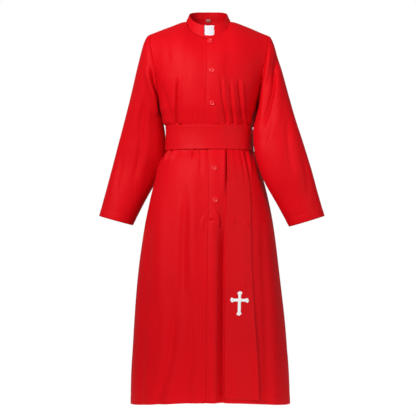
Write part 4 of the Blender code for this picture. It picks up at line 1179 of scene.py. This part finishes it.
def make_camera():
    """The camera, level and straight in front."""
    data = bpy.data.cameras.new("camera")
    data.lens = LENS
    data.sensor_width = SENSOR
    camera = link_object("camera", data)
    camera.location = Vector(CAMERA_PLACE) * MM
    camera.rotation_euler = (math.radians(90), 0.0, 0.0)
    bpy.context.scene.camera = camera


def area_light(name, place, target, size, power, spread):
    """A soft square light, with the width of its beam in degrees."""
    data = bpy.data.lights.new(name, "AREA")
    data.size = size
    data.energy = power
    data.spread = math.radians(spread)
    lamp = link_object(name, data)
    lamp.location = place
    lamp.rotation_euler = (Vector(target) - Vector(place)).to_track_quat("-Z", "Y").to_euler()


def make_studio():
    """White surroundings, soft lights and a pale floor that fades out into them."""
    world = bpy.data.worlds.new("white")
    world.use_nodes = True
    tree = world.node_tree
    white = (1, 1, 1, 1)
    seen = add_node(tree, "Background", 0, {"Color": white, "Strength": 1.0})
    dim = tree.nodes["Background"]
    feed(tree, dim, {"Color": white, "Strength": WORLD_LIGHT})
    seen_by_camera = add_node(tree, "LightPath", "Is Camera Ray")
    mix = add_node(tree, "MixShader", 0, {"Fac": seen_by_camera, 1: dim.outputs[0], 2: seen})
    feed(tree, tree.nodes["World Output"], {"Surface": mix})
    bpy.context.scene.world = world
    area_light("key", (-1.6, -2.6, 1.1), (0.05, 0.0, -0.32), 1.2, 14.5, 62)
    area_light("fill", (2.6, -2.7, -0.2), (0.2, 0.0, -0.6), 2.0, 18.6, 120)
    bpy.context.scene.view_settings.view_transform = "Standard"
    corners = [(x * FLOOR_REACH, y * FLOOR_REACH, FLOOR_HEIGHT) for x, y in ((-1, -1), (1, -1), (1, 1), (-1, 1))]
    floor = new_mesh_object("floor", corners, [(0, 1, 2, 3)])
    floor.data.materials.append(floor_material())


def floor_material():
    """Pale, and clear away from the middle."""
    found, tree, shader = new_shader("pale_floor")
    feed(tree, shader, {
        "Base Color": (0.9, 0.9, 0.9, 1.0), "Roughness": 0.9,
        "Emission Color": (1, 1, 1, 1), "Emission Strength": 0.8,
    })
    place = add_node(tree, "TexCoord", "Object")
    flat = add_node(tree, "VectorMath", "Vector", {0: place, 1: (1, 1, 0)}, operation="MULTIPLY")
    away = add_node(tree, "VectorMath", "Value", {0: flat}, operation="LENGTH")
    fade_looks = {"Value": away, "From Min": 0.25, "From Max": 0.75}
    fade = add_node(tree, "MapRange", "Result", fade_looks, interpolation_type="SMOOTHSTEP")
    clear = add_node(tree, "BsdfTransparent", 0)
    mix = add_node(tree, "MixShader", 0, {"Fac": fade, 1: shader.outputs[0], 2: clear})
    feed(tree, tree.nodes["Material Output"], {"Surface": mix})
    return found


def main():
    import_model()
    make_camera()
    make_studio()
    make_finishes()
    front, edges = make_panels()
    make_sleeves(edges)
    make_buttons(front)
    make_collar()
    make_tab()
    make_label()
    make_sash()
    make_tail()


main()
